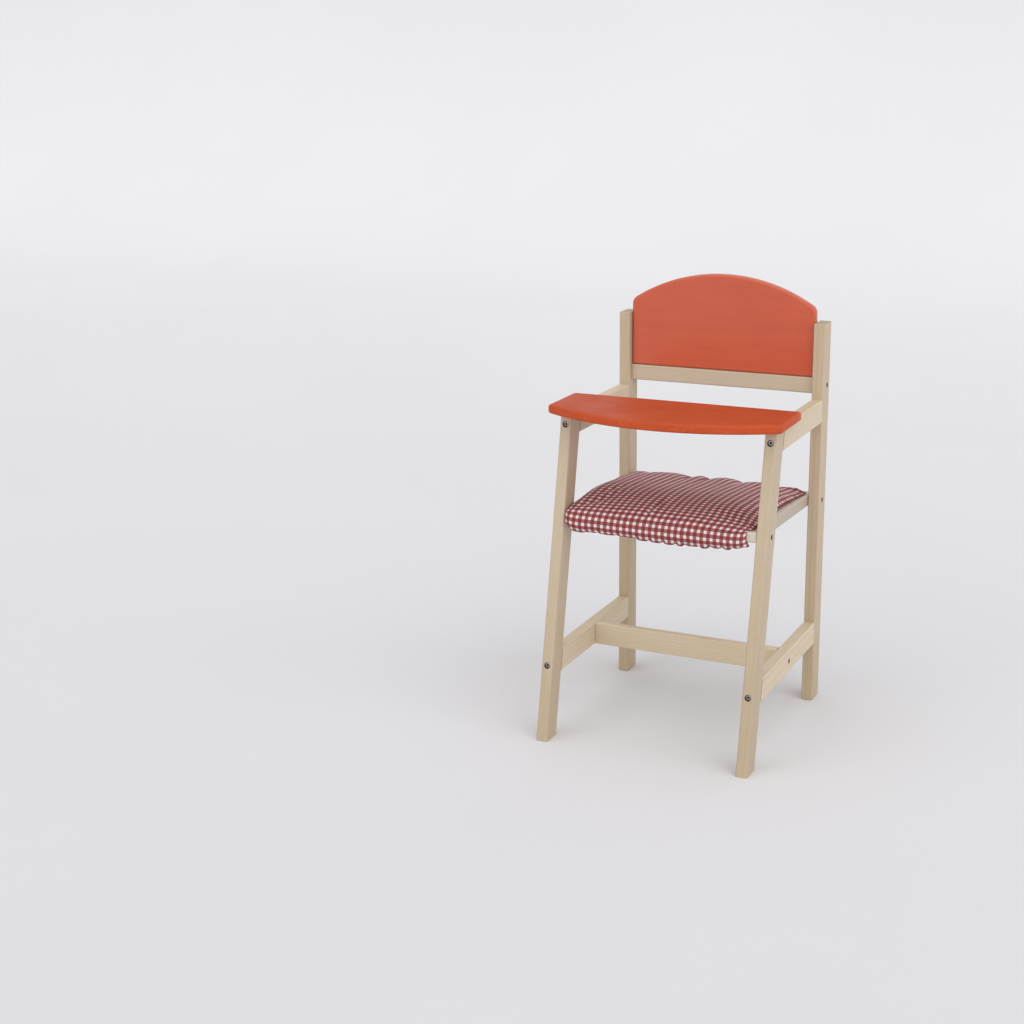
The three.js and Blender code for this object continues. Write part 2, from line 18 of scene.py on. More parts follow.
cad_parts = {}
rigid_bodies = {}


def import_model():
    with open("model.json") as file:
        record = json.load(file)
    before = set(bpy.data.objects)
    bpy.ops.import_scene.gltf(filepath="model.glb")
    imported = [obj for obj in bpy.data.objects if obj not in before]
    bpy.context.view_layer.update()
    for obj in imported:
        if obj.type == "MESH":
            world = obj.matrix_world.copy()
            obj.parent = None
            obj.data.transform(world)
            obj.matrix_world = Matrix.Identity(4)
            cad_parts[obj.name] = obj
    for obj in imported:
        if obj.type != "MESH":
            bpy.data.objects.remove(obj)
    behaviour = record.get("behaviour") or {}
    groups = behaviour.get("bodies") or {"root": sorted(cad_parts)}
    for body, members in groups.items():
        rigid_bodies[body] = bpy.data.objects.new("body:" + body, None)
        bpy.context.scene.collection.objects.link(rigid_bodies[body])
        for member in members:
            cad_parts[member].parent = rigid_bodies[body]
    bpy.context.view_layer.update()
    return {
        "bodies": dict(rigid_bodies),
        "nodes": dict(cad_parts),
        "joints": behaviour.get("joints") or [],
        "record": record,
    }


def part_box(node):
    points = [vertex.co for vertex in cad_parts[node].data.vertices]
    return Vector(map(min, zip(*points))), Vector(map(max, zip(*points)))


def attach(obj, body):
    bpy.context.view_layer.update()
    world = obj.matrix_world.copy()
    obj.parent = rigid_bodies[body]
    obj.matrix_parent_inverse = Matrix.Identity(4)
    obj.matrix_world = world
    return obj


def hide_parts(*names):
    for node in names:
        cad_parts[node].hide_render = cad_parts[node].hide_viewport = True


LOG = logging.getLogger("doll_high_chair")
MM = 0.001  # in metres, like every length here
SAME_PLACE = 1e-7  # points nearer than this count as one
WELD = 0.002 * MM  # loose corners nearer than this are joined
FLAT_ANGLE = 35.0  # faces that meet at less than this many degrees are shaded as one
PICTURE_WIDTH = 1024  # in pixels

Places = np.ndarray | float
Span = tuple[float, float]
Rgb = tuple[float, float, float]
Mesh = bpy.types.Mesh
Piece = bpy.types.Object
Material = bpy.types.Material
Socket = bpy.types.NodeSocket
Value = float | tuple[float, ...] | Socket


# Node graphs


class Graph:
    """The node graph of one material, with short calls that add nodes and join them."""

    def __init__(self, name: str) -> None:
        """Starts an empty material.

        Args:
            name: Name of the material.
        """
        self.material = bpy.data.materials.new(name)
        self.material.use_nodes = True
        self.tree = self.material.node_tree
        self.tree.nodes.clear()

    def feed(self, socket: Socket, value: Value) -> None:
        """Joins a socket to another, or sets its constant.

        Args:
            socket: The input that takes the value.
            value: An output socket, a number, a row of numbers, or a colour.
        """
        if isinstance(value, Socket):
            self.tree.links.new(value, socket)
        elif socket.type == "RGBA" and len(value) == 3:
            socket.default_value = (*value, 1.0)
        else:
            socket.default_value = value

    def add(
        self, kind: str, inputs: dict[str | int, Value] | None = None, **settings: object
    ) -> bpy.types.Node:
        """Adds a node.

        Args:
            kind: Blender's name of the node type.
            inputs: Values for its input sockets, by name or number.
            **settings: Values for its properties.

        Returns:
            The new node.
        """
        node = self.tree.nodes.new(kind)
        for key, setting in settings.items():
            setattr(node, key, setting)
        for key, value in (inputs or {}).items():
            self.feed(node.inputs[key], value)
        return node

    def math(self, operation: str, first: Value, second: Value = 0.0) -> Socket:
        """One sum on two numbers, by Blender's name of it."""
        return self.add("ShaderNodeMath", {0: first, 1: second}, operation=operation).outputs[0]

    def times(self, first: Value, second: Value) -> Socket:
        """One number times another."""
        return self.math("MULTIPLY", first, second)

    def vector(self, operation: str, *values: Value) -> bpy.types.Node:
        """The node of one sum on rows of three numbers."""
        return self.add("ShaderNodeVectorMath", dict(enumerate(values)), operation=operation)

    def ramp(
        self, value: Value, low: float, high: float, to_low: float = 0.0, to_high: float = 1.0
    ) -> Socket:
        """A number carried smoothly from low and high to to_low and to_high, and held between those."""
        inputs = {"Value": value, "From Min": low, "From Max": high, "To Min": to_low, "To Max": to_high}
        return self.add("ShaderNodeMapRange", inputs, interpolation_type="SMOOTHSTEP").outputs[0]

    def blend(self, share: Value, first: Value, second: Value, how: str = "MIX") -> Socket:
        """Mixes two colours.

        Args:
            share: 0 gives the first colour, 1 the second.
            first: First colour.
            second: Second colour.
            how: Blender's name of the way to mix.

        Returns:
            The mixed colour.
        """
        node = self.add("ShaderNodeMix", data_type="RGBA", blend_type=how)
        self.feed(node.inputs[0], share)
        self.feed(node.inputs[6], first)
        self.feed(node.inputs[7], second)
        return node.outputs[2]

    def noise(self, place: Value, scale: float, detail: float = 3.0, distortion: float = 0.0) -> Socket:
        """Cloudy noise about 0.5: so many clouds to a unit of length, finer layers in them, and curl."""
        inputs = {"Vector": place, "Scale": scale, "Detail": detail, "Distortion": distortion}
        return self.add("ShaderNodeTexNoise", inputs).outputs["Fac"]

    def own_place(self) -> Socket:
        """The place in the object's own coordinates, in metres."""
        return self.add("ShaderNodeTexCoord").outputs["Object"]

    def scaled(self, place: Value, scale: Rgb) -> Socket:
        """A place times a number along each axis, so that noise read there is drawn out."""
        return self.add("ShaderNodeMapping", {"Vector": place, "Scale": scale}).outputs[0]

    def shaded(self, colour: Value, tone: Value) -> Socket:
        """A colour made darker or lighter by a factor."""
        grey = self.add("ShaderNodeCombineColor", {0: tone, 1: tone, 2: tone}).outputs[0]
        return self.blend(1.0, colour, grey, "MULTIPLY")

    def bump(self, height: Value, strength: float, distance: float) -> Socket:
        """The normal of a surface with fine relief: a height from 0 to 1 times a distance."""
        inputs = {"Height": height, "Strength": strength, "Distance": distance}
        return self.add("ShaderNodeBump", inputs).outputs[0]

    def near_axis(self, place: Value, bore: "Bore", inner: float, outer: float) -> Socket:
        """How near a place is to the axis of a drilled hole.

        Args:
            place: The place.
            bore: The hole.
            inner: Distance up to which the result is 1.
            outer: Distance from which it is 0.

        Returns:
            A number from 0 to 1.
        """
        away = self.vector("SUBTRACT", place, bore.centre).outputs[0]
        flat = self.vector("MULTIPLY", away, bore.square).outputs[0]
        distance = self.vector("LENGTH", flat).outputs["Value"]
        return self.ramp(distance, inner, outer, 1.0, 0.0)

    def shader(self, **inputs: Value) -> bpy.types.Node:
        """Adds the shader and the output that shows it.

        Args:
            **inputs: Values for the shader's sockets, with _ for each space in a socket's name.

        Returns:
            The shader's node.
        """
        named = {key.replace("_", " "): value for key, value in inputs.items()}
        node = self.add("ShaderNodeBsdfPrincipled", named)
        self.add("ShaderNodeOutputMaterial", {"Surface": node.outputs[0]})
        return node


@dataclass(frozen=True)
class Bore:
    """A drilled hole with a fastener sunk in it.

    Attributes:
        centre: The middle of the fastener, on the axis.
        square: 1 along the two axes square to the hole, and 0 along it.
        radius: Radius of the hole's mouth.
        reach: Half the fastener's length.
    """

    centre: tuple[float, float, float]
    square: tuple[float, float, float]
    radius: float
    reach: float

    @classmethod
    def around(cls, node: str) -> "Bore":
        """The hole round a bolt, which lies along Y, or a screw, which lies along X.

        Args:
            node: Name of the fastener's node.

        Returns:
            The hole.
        """
        low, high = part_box(node)
        size = high - low
        square = (1.0, 0.0, 1.0) if "bolt" in node else (0.0, 1.0, 1.0)
        return cls(tuple((low + high) / 2), square, size.z / 2 + 0.5 * MM, max(size) / 2)

    def enters(self, node: str) -> bool:
        """Whether the hole goes into a node.

        Across the hole its circle has to lie in the node's box, and along it the two have to overlap.

        Args:
            node: Name of the node.

        Returns:
            Whether it does.
        """
        low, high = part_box(node)
        return all(
            a + self.radius <= c <= b - self.radius if across else a - self.reach < c < b + self.reach
            for a, b, c, across in zip(low, high, self.centre, self.square)
        )


# Finishes


class Grain(Enum):
    """How a piece of wood is turned from fibres that run along +Z, as angles about X, Y and Z in degrees."""

    UPRIGHT = (0.0, 0.0, 0.0)
    LEANING = (-11.482, 0.0, 0.0)
    FRONT_TO_BACK = (-90.0, 0.0, 0.0)
    SIDE_TO_SIDE = (0.0, 90.0, 0.0)

    def angles(self) -> tuple[float, float, float]:
        """The turn in radians."""
        return tuple(math.radians(angle) for angle in self.value)

    def direction(self) -> tuple[float, float, float]:
        """Which way the fibres run: +Z turned by the angles."""
        about_x, about_y, _ = self.angles()
        level = math.cos(about_y)
        return (math.sin(about_y), -math.sin(about_x) * level, math.cos(about_x) * level)


@dataclass(frozen=True)
class WoodFinish:
    """Pale wood under clear satin lacquer: year rings, fibres, short flecks and darker end grain.

    Attributes:
        light: Colour of the early wood.
        dark: Colour of the late wood and of the fibres.
        fleck: Colour of the short flecks.
        ring_width: Distance from one year ring to the next.
        foot_shade: Painted shade, how much darker and browner it is at the floor than from 0.3 m up.
        roughness: Roughness of the lacquer.
    """

    light: Rgb
    dark: Rgb
    fleck: Rgb
    foot_shade: float = 0.0
    ring_width: float = 2.6 * MM
    roughness: float = 0.46

    def material(self, name: str, grain: Grain, seed: int, bores: list[Bore]) -> Material:
        """Makes the material of one piece.

        Args:
            name: Name of the material.
            grain: Direction of the fibres.
            seed: Number that chooses which part of the tree the piece is cut from.
            bores: Holes in the piece, whose walls get painted shade.

        Returns:
            The material.
        """
        graph = Graph(name)
        draw = np.random.default_rng(seed)
        heart = draw.uniform(30, 70, 2) * MM * draw.choice([-1, 1], 2)
        along = draw.uniform(0, 3)
        coords = graph.add("ShaderNodeTexCoord")
        place = coords.outputs["Object"]
        turned = {"Vector": place, "Rotation": grain.angles()}
        centred = graph.add("ShaderNodeMapping", turned, vector_type="TEXTURE").outputs[0]
        shifted = graph.vector("ADD", centred, (*heart, along)).outputs[0]
        wave = {
            "Vector": graph.scaled(shifted, (1, 1, 0.02)),
            "Scale": math.pi / 10 / self.ring_width,
            "Distortion": 3.2,
            "Detail": 2.0,
            "Detail Scale": 0.35,
        }
        rings = graph.add("ShaderNodeTexWave", wave, wave_type="RINGS", rings_direction="Z").outputs["Fac"]
        fibres = graph.noise(graph.scaled(shifted, (2200, 2200, 42)), 1.0, 3.0)
        flecks = graph.ramp(graph.noise(graph.scaled(shifted, (1300, 1300, 230)), 1.0, 1.0), 0.66, 0.76)
        clouds = graph.noise(graph.scaled(shifted, (30, 30, 4)), 1.0, 2.0)
        late = graph.times(graph.ramp(rings, 0.35, 1.0), graph.ramp(clouds, 0.3, 0.75, 0.1, 0.48))
        plain = graph.blend(late, self.light, self.dark)
        streaked = graph.blend(graph.ramp(fibres, 0.38, 0.74, 0.0, 0.4), plain, self.dark)
        flecked = graph.blend(graph.times(flecks, 0.4), streaked, self.fleck)
        height = graph.add("ShaderNodeSeparateXYZ", {0: place}).outputs[2]
        # Painted shade: the wood is made darker and browner towards the floor, by foot_shade.
        floor_shade_painted = graph.ramp(height, 0.0, 0.3, 1.0 - self.foot_shade, 1.0)
        tone = graph.times(graph.ramp(clouds, 0.25, 0.75, 0.95, 1.04), floor_shade_painted)
        browner = {0: tone, 1: graph.math("POWER", tone, 1.15), 2: graph.math("POWER", tone, 1.7)}
        tint = graph.add("ShaderNodeCombineColor", browner).outputs[0]
        toned = graph.blend(1.0, flecked, tint, "MULTIPLY")
        facing = graph.vector("DOT_PRODUCT", coords.outputs["Normal"], grain.direction()).outputs["Value"]
        ends = graph.ramp(graph.math("ABSOLUTE", facing), 0.6, 0.95, 0.0, 0.55)
        coloured = graph.blend(ends, toned, tuple(c * 0.6 for c in self.dark))
        # Painted shade: the wood on the walls of each hole is darkened, for the shadow inside the hole.
        for bore in bores:
            wall = graph.near_axis(place, bore, bore.radius, bore.radius + 0.3 * MM)
            coloured = graph.blend(graph.times(wall, 0.85), coloured, (0.1, 0.055, 0.035))
        relief = graph.math("ADD", fibres, graph.times(rings, 0.4))
        graph.shader(
            Base_Color=coloured,
            Roughness=graph.ramp(fibres, 0.3, 0.8, self.roughness - 0.05, self.roughness + 0.1),
            Coat_Weight=0.12,
            Coat_Roughness=0.3,
            Normal=graph.bump(relief, 0.35, 0.08 * MM),
        )
        return graph.material


@dataclass(frozen=True)
class StainFinish:
    """Red stain under satin lacquer, with the wood's fibres and a little mottling still to be seen.

    Attributes:
        colour: The stain.
        deep: The stain where the wood has drunk more of it.
        rubbed: The stain where the edges are rubbed.
        gloss: How much clear top coat lies over the stain.
        roughness: Roughness of the lacquer.
    """

    colour: Rgb
    deep: Rgb
    rubbed: Rgb
    gloss: float
    roughness: float = 0.44

    def material(self, name: str) -> Material:
        """Makes the material, with fibres that run from side to side.

        Args:
            name: Name of the material.

        Returns:
            The material. It reads the attribute "rim", which is 1 on a board's rounded edge.
        """
        graph = Graph(name)
        place = graph.own_place()
        fibres = graph.noise(graph.scaled(place, (22, 1500, 1500)), 1.0, 3.0)
        bands = graph.noise(graph.scaled(place, (6, 120, 120)), 1.0, 2.0, 0.6)
        clouds = graph.noise(place, 26.0, 3.0)
        drunk_by_fibres = graph.ramp(fibres, 0.4, 0.75, 0.0, 0.3)
        drunk = graph.math("ADD", drunk_by_fibres, graph.ramp(bands, 0.35, 0.75, 0.0, 0.35))
        stained = graph.blend(drunk, self.colour, self.deep)
        mottled = graph.blend(graph.ramp(clouds, 0.35, 0.7, 0.0, 0.22), stained, self.deep)
        rim = graph.add("ShaderNodeAttribute", attribute_name="rim").outputs["Fac"]
        scuffs = graph.ramp(graph.noise(place, 330.0, 4.0), 0.52, 0.72, 0.05, 0.4)
        worn = graph.blend(graph.times(rim, scuffs), mottled, self.rubbed)
        relief = graph.math("ADD", graph.noise(place, 420.0, 2.0), graph.times(fibres, 0.5))
        graph.shader(
            Base_Color=worn,
            Roughness=graph.ramp(clouds, 0.3, 0.75, self.roughness - 0.04, self.roughness + 0.07),
            Specular_IOR_Level=0.1 + 0.6 * self.gloss,
            Coat_Weight=self.gloss,
            Coat_Roughness=0.17,
            Normal=graph.bump(relief, 0.25, 0.06 * MM),
        )
        return graph.material


@dataclass(frozen=True)
class GinghamFinish:
    """Plain woven cotton of red and white threads in equal bands, which read the piece's UV map in metres.

    Attributes:
        white: Colour of the white threads.
        red: Colour of the red threads.
        repeat: Distance from one red band to the next.
        thread: Distance from one thread to the next.
        phase: Where a red band starts, across and along the cloth.
    """

    white: Rgb
    red: Rgb
    repeat: float = 8 * MM
    thread: float = 0.42 * MM
    phase: Span = (-3.8 * MM, 0.0)

    def band(self, graph: Graph, place: Value, start: float) -> Socket:
        """How red the threads at a place are: the sine of the place, cut to nearly a square wave.

        Args:
            graph: The material's graph.
            place: Place across the bands, in metres.
            start: Where a red band starts.

        Returns:
            0 in a white band and 1 in a red one.
        """
        moved = graph.math("SUBTRACT", place, start)
        wave = graph.math("SINE", graph.times(moved, 2 * math.pi / self.repeat))
        return graph.ramp(wave, -0.33, 0.1)

    def material(self, name: str) -> Material:
        """Makes the material.

        Args:
            name: Name of the material.

        Returns:
            The material.
        """
        graph = Graph(name)
        flat = graph.add("ShaderNodeUVMap").outputs[0]
        split = graph.add("ShaderNodeSeparateXYZ", {0: flat})
        across, along = split.outputs[0], split.outputs[1]
        warp = self.band(graph, across, self.phase[0])
        weft = self.band(graph, along, self.phase[1])
        turn = math.pi / self.thread
        wave_across = graph.math("SINE", graph.times(across, turn))
        wave_along = graph.math("SINE", graph.times(along, turn))
        over = graph.ramp(graph.times(wave_across, wave_along), -0.35, 0.35)
        shown = graph.ramp(over, 0.0, 1.0, 0.34, 0.66)
        weft_share = graph.times(weft, graph.math("SUBTRACT", 1.0, shown))
        redness = graph.math("ADD", graph.times(warp, shown), weft_share)
        whiteness = graph.math("SUBTRACT", 1.0, redness)
        deepened = graph.math("SUBTRACT", 1.0, graph.math("POWER", whiteness, 3.0))
        slubs = graph.ramp(graph.noise(graph.scaled(flat, (2400, 150, 1)), 1.0, 2.0), 0.3, 0.7, 0.9, 1.02)
        clouds = graph.ramp(graph.noise(graph.own_place(), 55.0, 2.0), 0.3, 0.7, -0.03, 0.03)
        dyed = graph.blend(deepened, self.white, self.red)
        warp_height = graph.times(graph.math("ABSOLUTE", wave_across), over)
        under = graph.math("SUBTRACT", 1.0, over)
        weft_height = graph.times(graph.math("ABSOLUTE", wave_along), under)
        relief = graph.math("ADD", warp_height, weft_height)
        graph.shader(
            Base_Color=graph.shaded(dyed, graph.math("ADD", slubs, clouds)),
            Roughness=0.88,
            Specular_IOR_Level=0.25,
            Sheen_Weight=0.08,
            Sheen_Roughness=0.4,
            Normal=graph.bump(relief, 0.5, 0.09 * MM),
        )
        return graph.material


@dataclass(frozen=True)
class SteelFinish:
    """Plated steel, brushed by the tool that turned it, with painted shade in the socket in the middle of
    its head and in the gap round the head.

    Attributes:
        colour: Colour of the plating.
        dull: Colour where it has gone dull.
        socket: Radius of the socket.
        roughness: Roughness of the bright parts.
    """

    colour: Rgb
    dull: Rgb
    socket: float
    roughness: float = 0.42

    def material(self, name: str, bore: Bore) -> Material:
        """Makes the material of one fastener.

        Args:
            name: Name of the material.
            bore: Where the fastener sits.

        Returns:
            The material.
        """
        graph = Graph(name)
        place = graph.own_place()
        spots = graph.noise(place, 700.0, 4.0)
        scratches = graph.noise(graph.scaled(place, (300, 300, 5200)), 1.0, 2.0)
        coloured = graph.blend(graph.ramp(spots, 0.42, 0.68), self.colour, self.dull)
        # Painted shade: the socket is made nearly black and less metallic, and a dark ring at the head's
        # edge stands for the shade in the gap between head and hole.
        socket_shade = graph.near_axis(place, bore, self.socket - 0.15 * MM, self.socket + 0.1 * MM)
        rim = graph.near_axis(place, bore, bore.radius - 1.2 * MM, bore.radius - 0.7 * MM)
        gap_shaded = graph.blend(rim, tuple(c * 0.35 for c in self.dull), coloured)
        sunk = graph.blend(socket_shade, gap_shaded, (0.02, 0.018, 0.016))
        graph.shader(
            Base_Color=sunk,
            Metallic=graph.ramp(socket_shade, 0.0, 1.0, 0.85, 0.2),
            Roughness=graph.ramp(spots, 0.35, 0.7, self.roughness, self.roughness + 0.22),
            Normal=graph.bump(scratches, 0.3, 0.04 * MM),
        )
        return graph.material


# Surfaces


def grid_faces(rows: int, columns: int, closed: bool = False) -> np.ndarray:
    """Corner numbers of the quads between neighbouring points of a grid.

    Args:
        rows: Points down the grid.
        columns: Points across it.
        closed: Whether the last column joins the first.

    Returns:
        One row of four corners for each quad. They turn left round the step to the next column crossed
        with the step to the next row.
    """
    row = np.arange(rows - 1)[:, None] * columns
    column = np.arange(columns if closed else columns - 1)[None, :]
    following = (column + 1) % columns
    corners = [row + column, row + following, row + columns + following, row + columns + column]
    return np.stack(corners, axis=-1).reshape(-1, 4)


def tube_faces(rings: int, count: int, flipped: bool = False) -> list[list[int]]:
    """Corner numbers of a stack of rings that is closed at both ends by triangles to a pole.

    Args:
        rings: How many rings.
        count: Points in each ring.
        flipped: Whether every face is turned over.

    Returns:
        One row of corners for each face. The two poles are the points after the last ring.
    """
    ring = np.arange(count)
    following = (ring + 1) % count
    last, pole = (rings - 1) * count, np.full(count, rings * count)
    ends = [[following, ring, pole], [last + ring, last + following, pole + 1]]
    parts = [grid_faces(rings, count, closed=True), *(np.stack(end, axis=1) for end in ends)]
    return [face for part in parts for face in (part[:, ::-1] if flipped else part).tolist()]


def add_object(name: str, data: bpy.types.ID) -> Piece:
    """Puts a new object that shows some data into the scene."""
    piece = bpy.data.objects.new(name, data)
    bpy.context.scene.collection.objects.link(piece)
    return piece


def make_piece(name: str, points: np.ndarray, faces: list[list[int]], material: Material) -> Piece:
    """Makes a smooth mesh object at the origin.

    Args:
        name: Name of the piece.
        points: One row of x, y, z for each point.
        faces: Corner numbers of each face.
        material: Its material.

    Returns:
        The object.
    """
    mesh = bpy.data.meshes.new(name)
    mesh.from_pydata(points.tolist(), [], faces)
    mesh.polygons.foreach_set("use_smooth", np.ones(len(mesh.polygons), bool))
    mesh.materials.append(material)
    mesh.update()
    return add_object(name, mesh)


def read(items: bpy.types.bpy_prop_collection, key: str, width: int = 1) -> np.ndarray:
    """Reads the same value of every item of a list.

    Args:
        items: The list, such as a mesh's vertices.
        key: Name of the value.
        width: How many numbers it has.

    Returns:
        One number, or one row of numbers, for each item.
    """
    flat = np.zeros(len(items) * width, np.float32)
    items.foreach_get(key, flat)
    return flat.astype(float) if width == 1 else flat.reshape(-1, width).astype(float)


def write(items: bpy.types.bpy_prop_collection, key: str, values: np.ndarray) -> None:
    """Writes what read gives back."""
    items.foreach_set(key, values.astype(np.float32).ravel())


def write_cloth_values(mesh: Mesh, values: dict[str, np.ndarray]) -> None:
    """Stores numbers for each point of a mesh as attributes, and u and v as its UV map in metres too.

    Args:
        mesh: The mesh.
        values: The numbers by name.
    """
    for name, numbers in values.items():
        write(mesh.attributes.new(name, "FLOAT", "POINT").data, "value", numbers)
    corners = np.zeros(len(mesh.loops), np.int32)
    mesh.loops.foreach_get("vertex_index", corners)
    flat = np.stack([values["u"], values["v"]], axis=1)
    write(mesh.uv_layers.new(name="cloth").data, "uv", flat[corners])


def read_values(mesh: Mesh, *names: str) -> list[np.ndarray]:
    """The numbers that write_cloth_values stored under some names."""
    return [read(mesh.attributes[name].data, "value") for name in names]


def move_points(mesh: Mesh, points: np.ndarray) -> None:
    """Puts the points of a mesh somewhere else."""
    write(mesh.vertices, "co", points)
    mesh.update()


def subdivide(piece: Piece) -> None:
    """Divides every face of a piece in four, smoothly, and applies that.

    Args:
        piece: The piece.
    """
    modifier = piece.modifiers.new("finer", "SUBSURF")
    modifier.levels = modifier.render_levels = 1
    depsgraph = bpy.context.evaluated_depsgraph_get()
    coarse = piece.data
    mesh = bpy.data.meshes.new_from_object(
        piece.evaluated_get(depsgraph), preserve_all_data_layers=True, depsgraph=depsgraph
    )
    piece.modifiers.remove(modifier)
    piece.data = mesh
    bpy.data.meshes.remove(coarse)
    mesh.name = piece.name


def run_length(path: np.ndarray) -> np.ndarray:
    """Length along a path up to each of its points."""
    return np.concatenate([[0], np.cumsum(np.linalg.norm(np.diff(path, axis=0), axis=1))])


def smooth_path(knots: np.ndarray, count: int) -> np.ndarray:
    """A smooth curve through knots, as points at equal distances along it.

    Between two knots it is the cubic whose slope at each is half the step from the knot before to the
    knot after (a Catmull-Rom curve).

    Args:
        knots: One row for each knot.
        count: How many points to give.

    Returns:
        One row for each point.
    """
    padded = np.vstack([2 * knots[0] - knots[1], knots, 2 * knots[-1] - knots[-2]])
    t = np.linspace(0, 1, 24, endpoint=False)[None, :, None]
    a, b, c, d = (padded[i : len(padded) - 3 + i, None, :] for i in range(4))
    dense = 0.5 * (2 * b + (c - a) * t + (2 * a - 5 * b + 4 * c - d) * t**2 + (3 * b - a - 3 * c + d) * t**3)
    dense = np.vstack([dense.reshape(-1, knots.shape[1]), knots[-1]])
    way = run_length(dense)
    places = np.linspace(0, way[-1], count)
    return np.stack([np.interp(places, way, dense[:, k]) for k in range(knots.shape[1])], axis=1)


def smooth_step(value: np.ndarray, low: float, high: float) -> np.ndarray:
    """0 below low, 1 above high, and three squares less two cubes of the share in between."""
    share = np.clip((value - low) / (high - low), 0, 1)
    return share * share * (3 - 2 * share)


def hill(value: np.ndarray, middle: float, width: float) -> np.ndarray:
    """A bell curve that is 1 at its middle and about 0.6 one width away."""
    return np.exp(-0.5 * ((value - middle) / width) ** 2)


def fade(distance: np.ndarray, reach: float) -> np.ndarray:
    """1 at no distance, and less by a factor e with each reach."""
    return np.exp(-distance / reach)


def window(value: np.ndarray, rise: Span, fall: Span) -> np.ndarray:
    """0 before the rise and after the fall, 1 between them, and smooth steps from one to the other."""
    return smooth_step(value, *rise) * (1 - smooth_step(value, *fall))


def ellipse_rise(value: np.ndarray, start: float, end: float) -> np.ndarray:
    """0 before start, and from there the quarter ellipse 1 - sqrt(1 - q q) up to 1 at the end."""
    share = np.clip((value - start) / (end - start), 0, 1)
    return 1 - np.sqrt(1 - share * share)


# Red boards


class Lay(Enum):
    """How a bowed board lies in the chair."""

    STANDING = "standing on its straight edge"
    FLAT = "flat, bow to the front"


@dataclass
class BowedBoard:
    """A board with a straight foot, straight sides and a bowed head, rounded over all round.

    Attributes:
        node: CAD node that it stands for, whose box it fills.
        lay: How it lies.
        side: Length of its straight sides.
        shoulder_round: Radius where a side meets the bow.
        foot_round: Radius at the two corners of the foot.
        edge_round: Radius of the rounding over its edges.
    """

    node: str
    lay: Lay
    side: float
    shoulder_round: float
    foot_round: float
    edge_round: float

    def outline(self, width: float, height: float, inset: float) -> np.ndarray:
        """The outline, moved inwards.

        The bow is one arc through the tops of the sides and the crown: with half width h and rise r, its
        radius is (h h + r r) / 2 r. Each shoulder and foot is a quarter or less of a circle inside it.
        Moving inwards takes the inset off every radius and leaves the circles' middles.

        Args:
            width: Width of the board.
            height: Height of the board in its middle.
            inset: Distance inwards.

        Returns:
            Points in the board's plane, turning left, at fixed places that don't depend on the inset.
        """
        half = width / 2
        rise = height - self.side
        radius = (half * half + rise * rise) / (2 * rise)
        middle = height - radius
        shoulder_x = half - self.shoulder_round
        shoulder_y = middle + math.sqrt((radius - self.shoulder_round) ** 2 - shoulder_x**2)
        spread = math.atan2(shoulder_y - middle, shoulder_x)
        foot = half - self.foot_round
        arcs = [
            (shoulder_x, shoulder_y, self.shoulder_round, 0, spread, 14),
            (0.0, middle, radius, spread, math.pi - spread, 96),
            (-shoulder_x, shoulder_y, self.shoulder_round, math.pi - spread, math.pi, 14),
            (-foot, self.foot_round, self.foot_round, math.pi, 1.5 * math.pi, 12),
            (foot, self.foot_round, self.foot_round, 1.5 * math.pi, 2 * math.pi, 12),
        ]
        rows = []
        for x, y, r, start, end, count in arcs:
            angle = np.linspace(start, end, count + 1)
            rows.append(np.stack([x + (r - inset) * np.cos(angle), y + (r - inset) * np.sin(angle)], axis=1))
        joined = np.vstack(rows)
        steps = np.linalg.norm(joined - np.roll(joined, 1, axis=0), axis=1)
        return joined[steps > SAME_PLACE]

    def build(self, material: Material) -> Piece:
        """Makes the board and lets it stand for its node.

        The surface is a stack of rings. Ring i is the outline moved inwards by e(i) at height w(i): up
        the lower round e = r (1 - sin a) and w = r (1 - cos a), and back over the upper one. The flats
        shrink from the last ring to a pole in the middle.

        Args:
            material: Its material.

        Returns:
            The finished piece.
        """
        low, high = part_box(self.node)
        size = high - low
        thickness = size.y if self.lay is Lay.STANDING else size.z
        height = size.z if self.lay is Lay.STANDING else size.y
        angle = np.linspace(0, math.pi / 2, 9)
        r = self.edge_round
        inset = np.concatenate([r * (1 - np.sin(angle)), r * (1 - np.sin(angle[::-1]))])
        rise = np.concatenate([r * (1 - np.cos(angle)), thickness - r * (1 - np.cos(angle[::-1]))])
        rings = []
        for e, w in zip(inset, rise):
            flat = self.outline(size.x, height, e)
            rings.append(np.column_stack([flat, np.full(len(flat), w)]))
        poles = np.array([[0.0, height / 2, 0.0], [0.0, height / 2, thickness]])
        shares = (0.985, 0.9, 0.66, 0.33)
        lower = [poles[0] + (rings[0] - poles[0]) * share for share in shares[::-1]]
        upper = [poles[1] + (rings[-1] - poles[1]) * share for share in shares]
        stack = np.array([*lower, *rings, *upper])
        count = stack.shape[1]
        points = np.vstack([stack.reshape(-1, 3), poles])
        u, v, w = points.T
        if self.lay is Lay.STANDING:
            placed = np.stack([u, high.y - w, low.z + v], axis=1)
        else:
            placed = np.stack([-u, high.y - v, low.z + w], axis=1)
        faces = tube_faces(len(stack), count)
        piece = make_piece(self.node + "_board", placed, faces, material)
        rim = np.zeros(len(points))
        first = len(lower) * count
        rim[first : first + len(rings) * count] = 1.0
        write(piece.data.attributes.new("rim", "FLOAT", "POINT").data, "value", rim)
        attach(piece, "frame")
        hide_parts(self.node)
        LOG.info("%s: %d faces", piece.name, len(faces))
        return piece


# Plain wood, steel and dowels


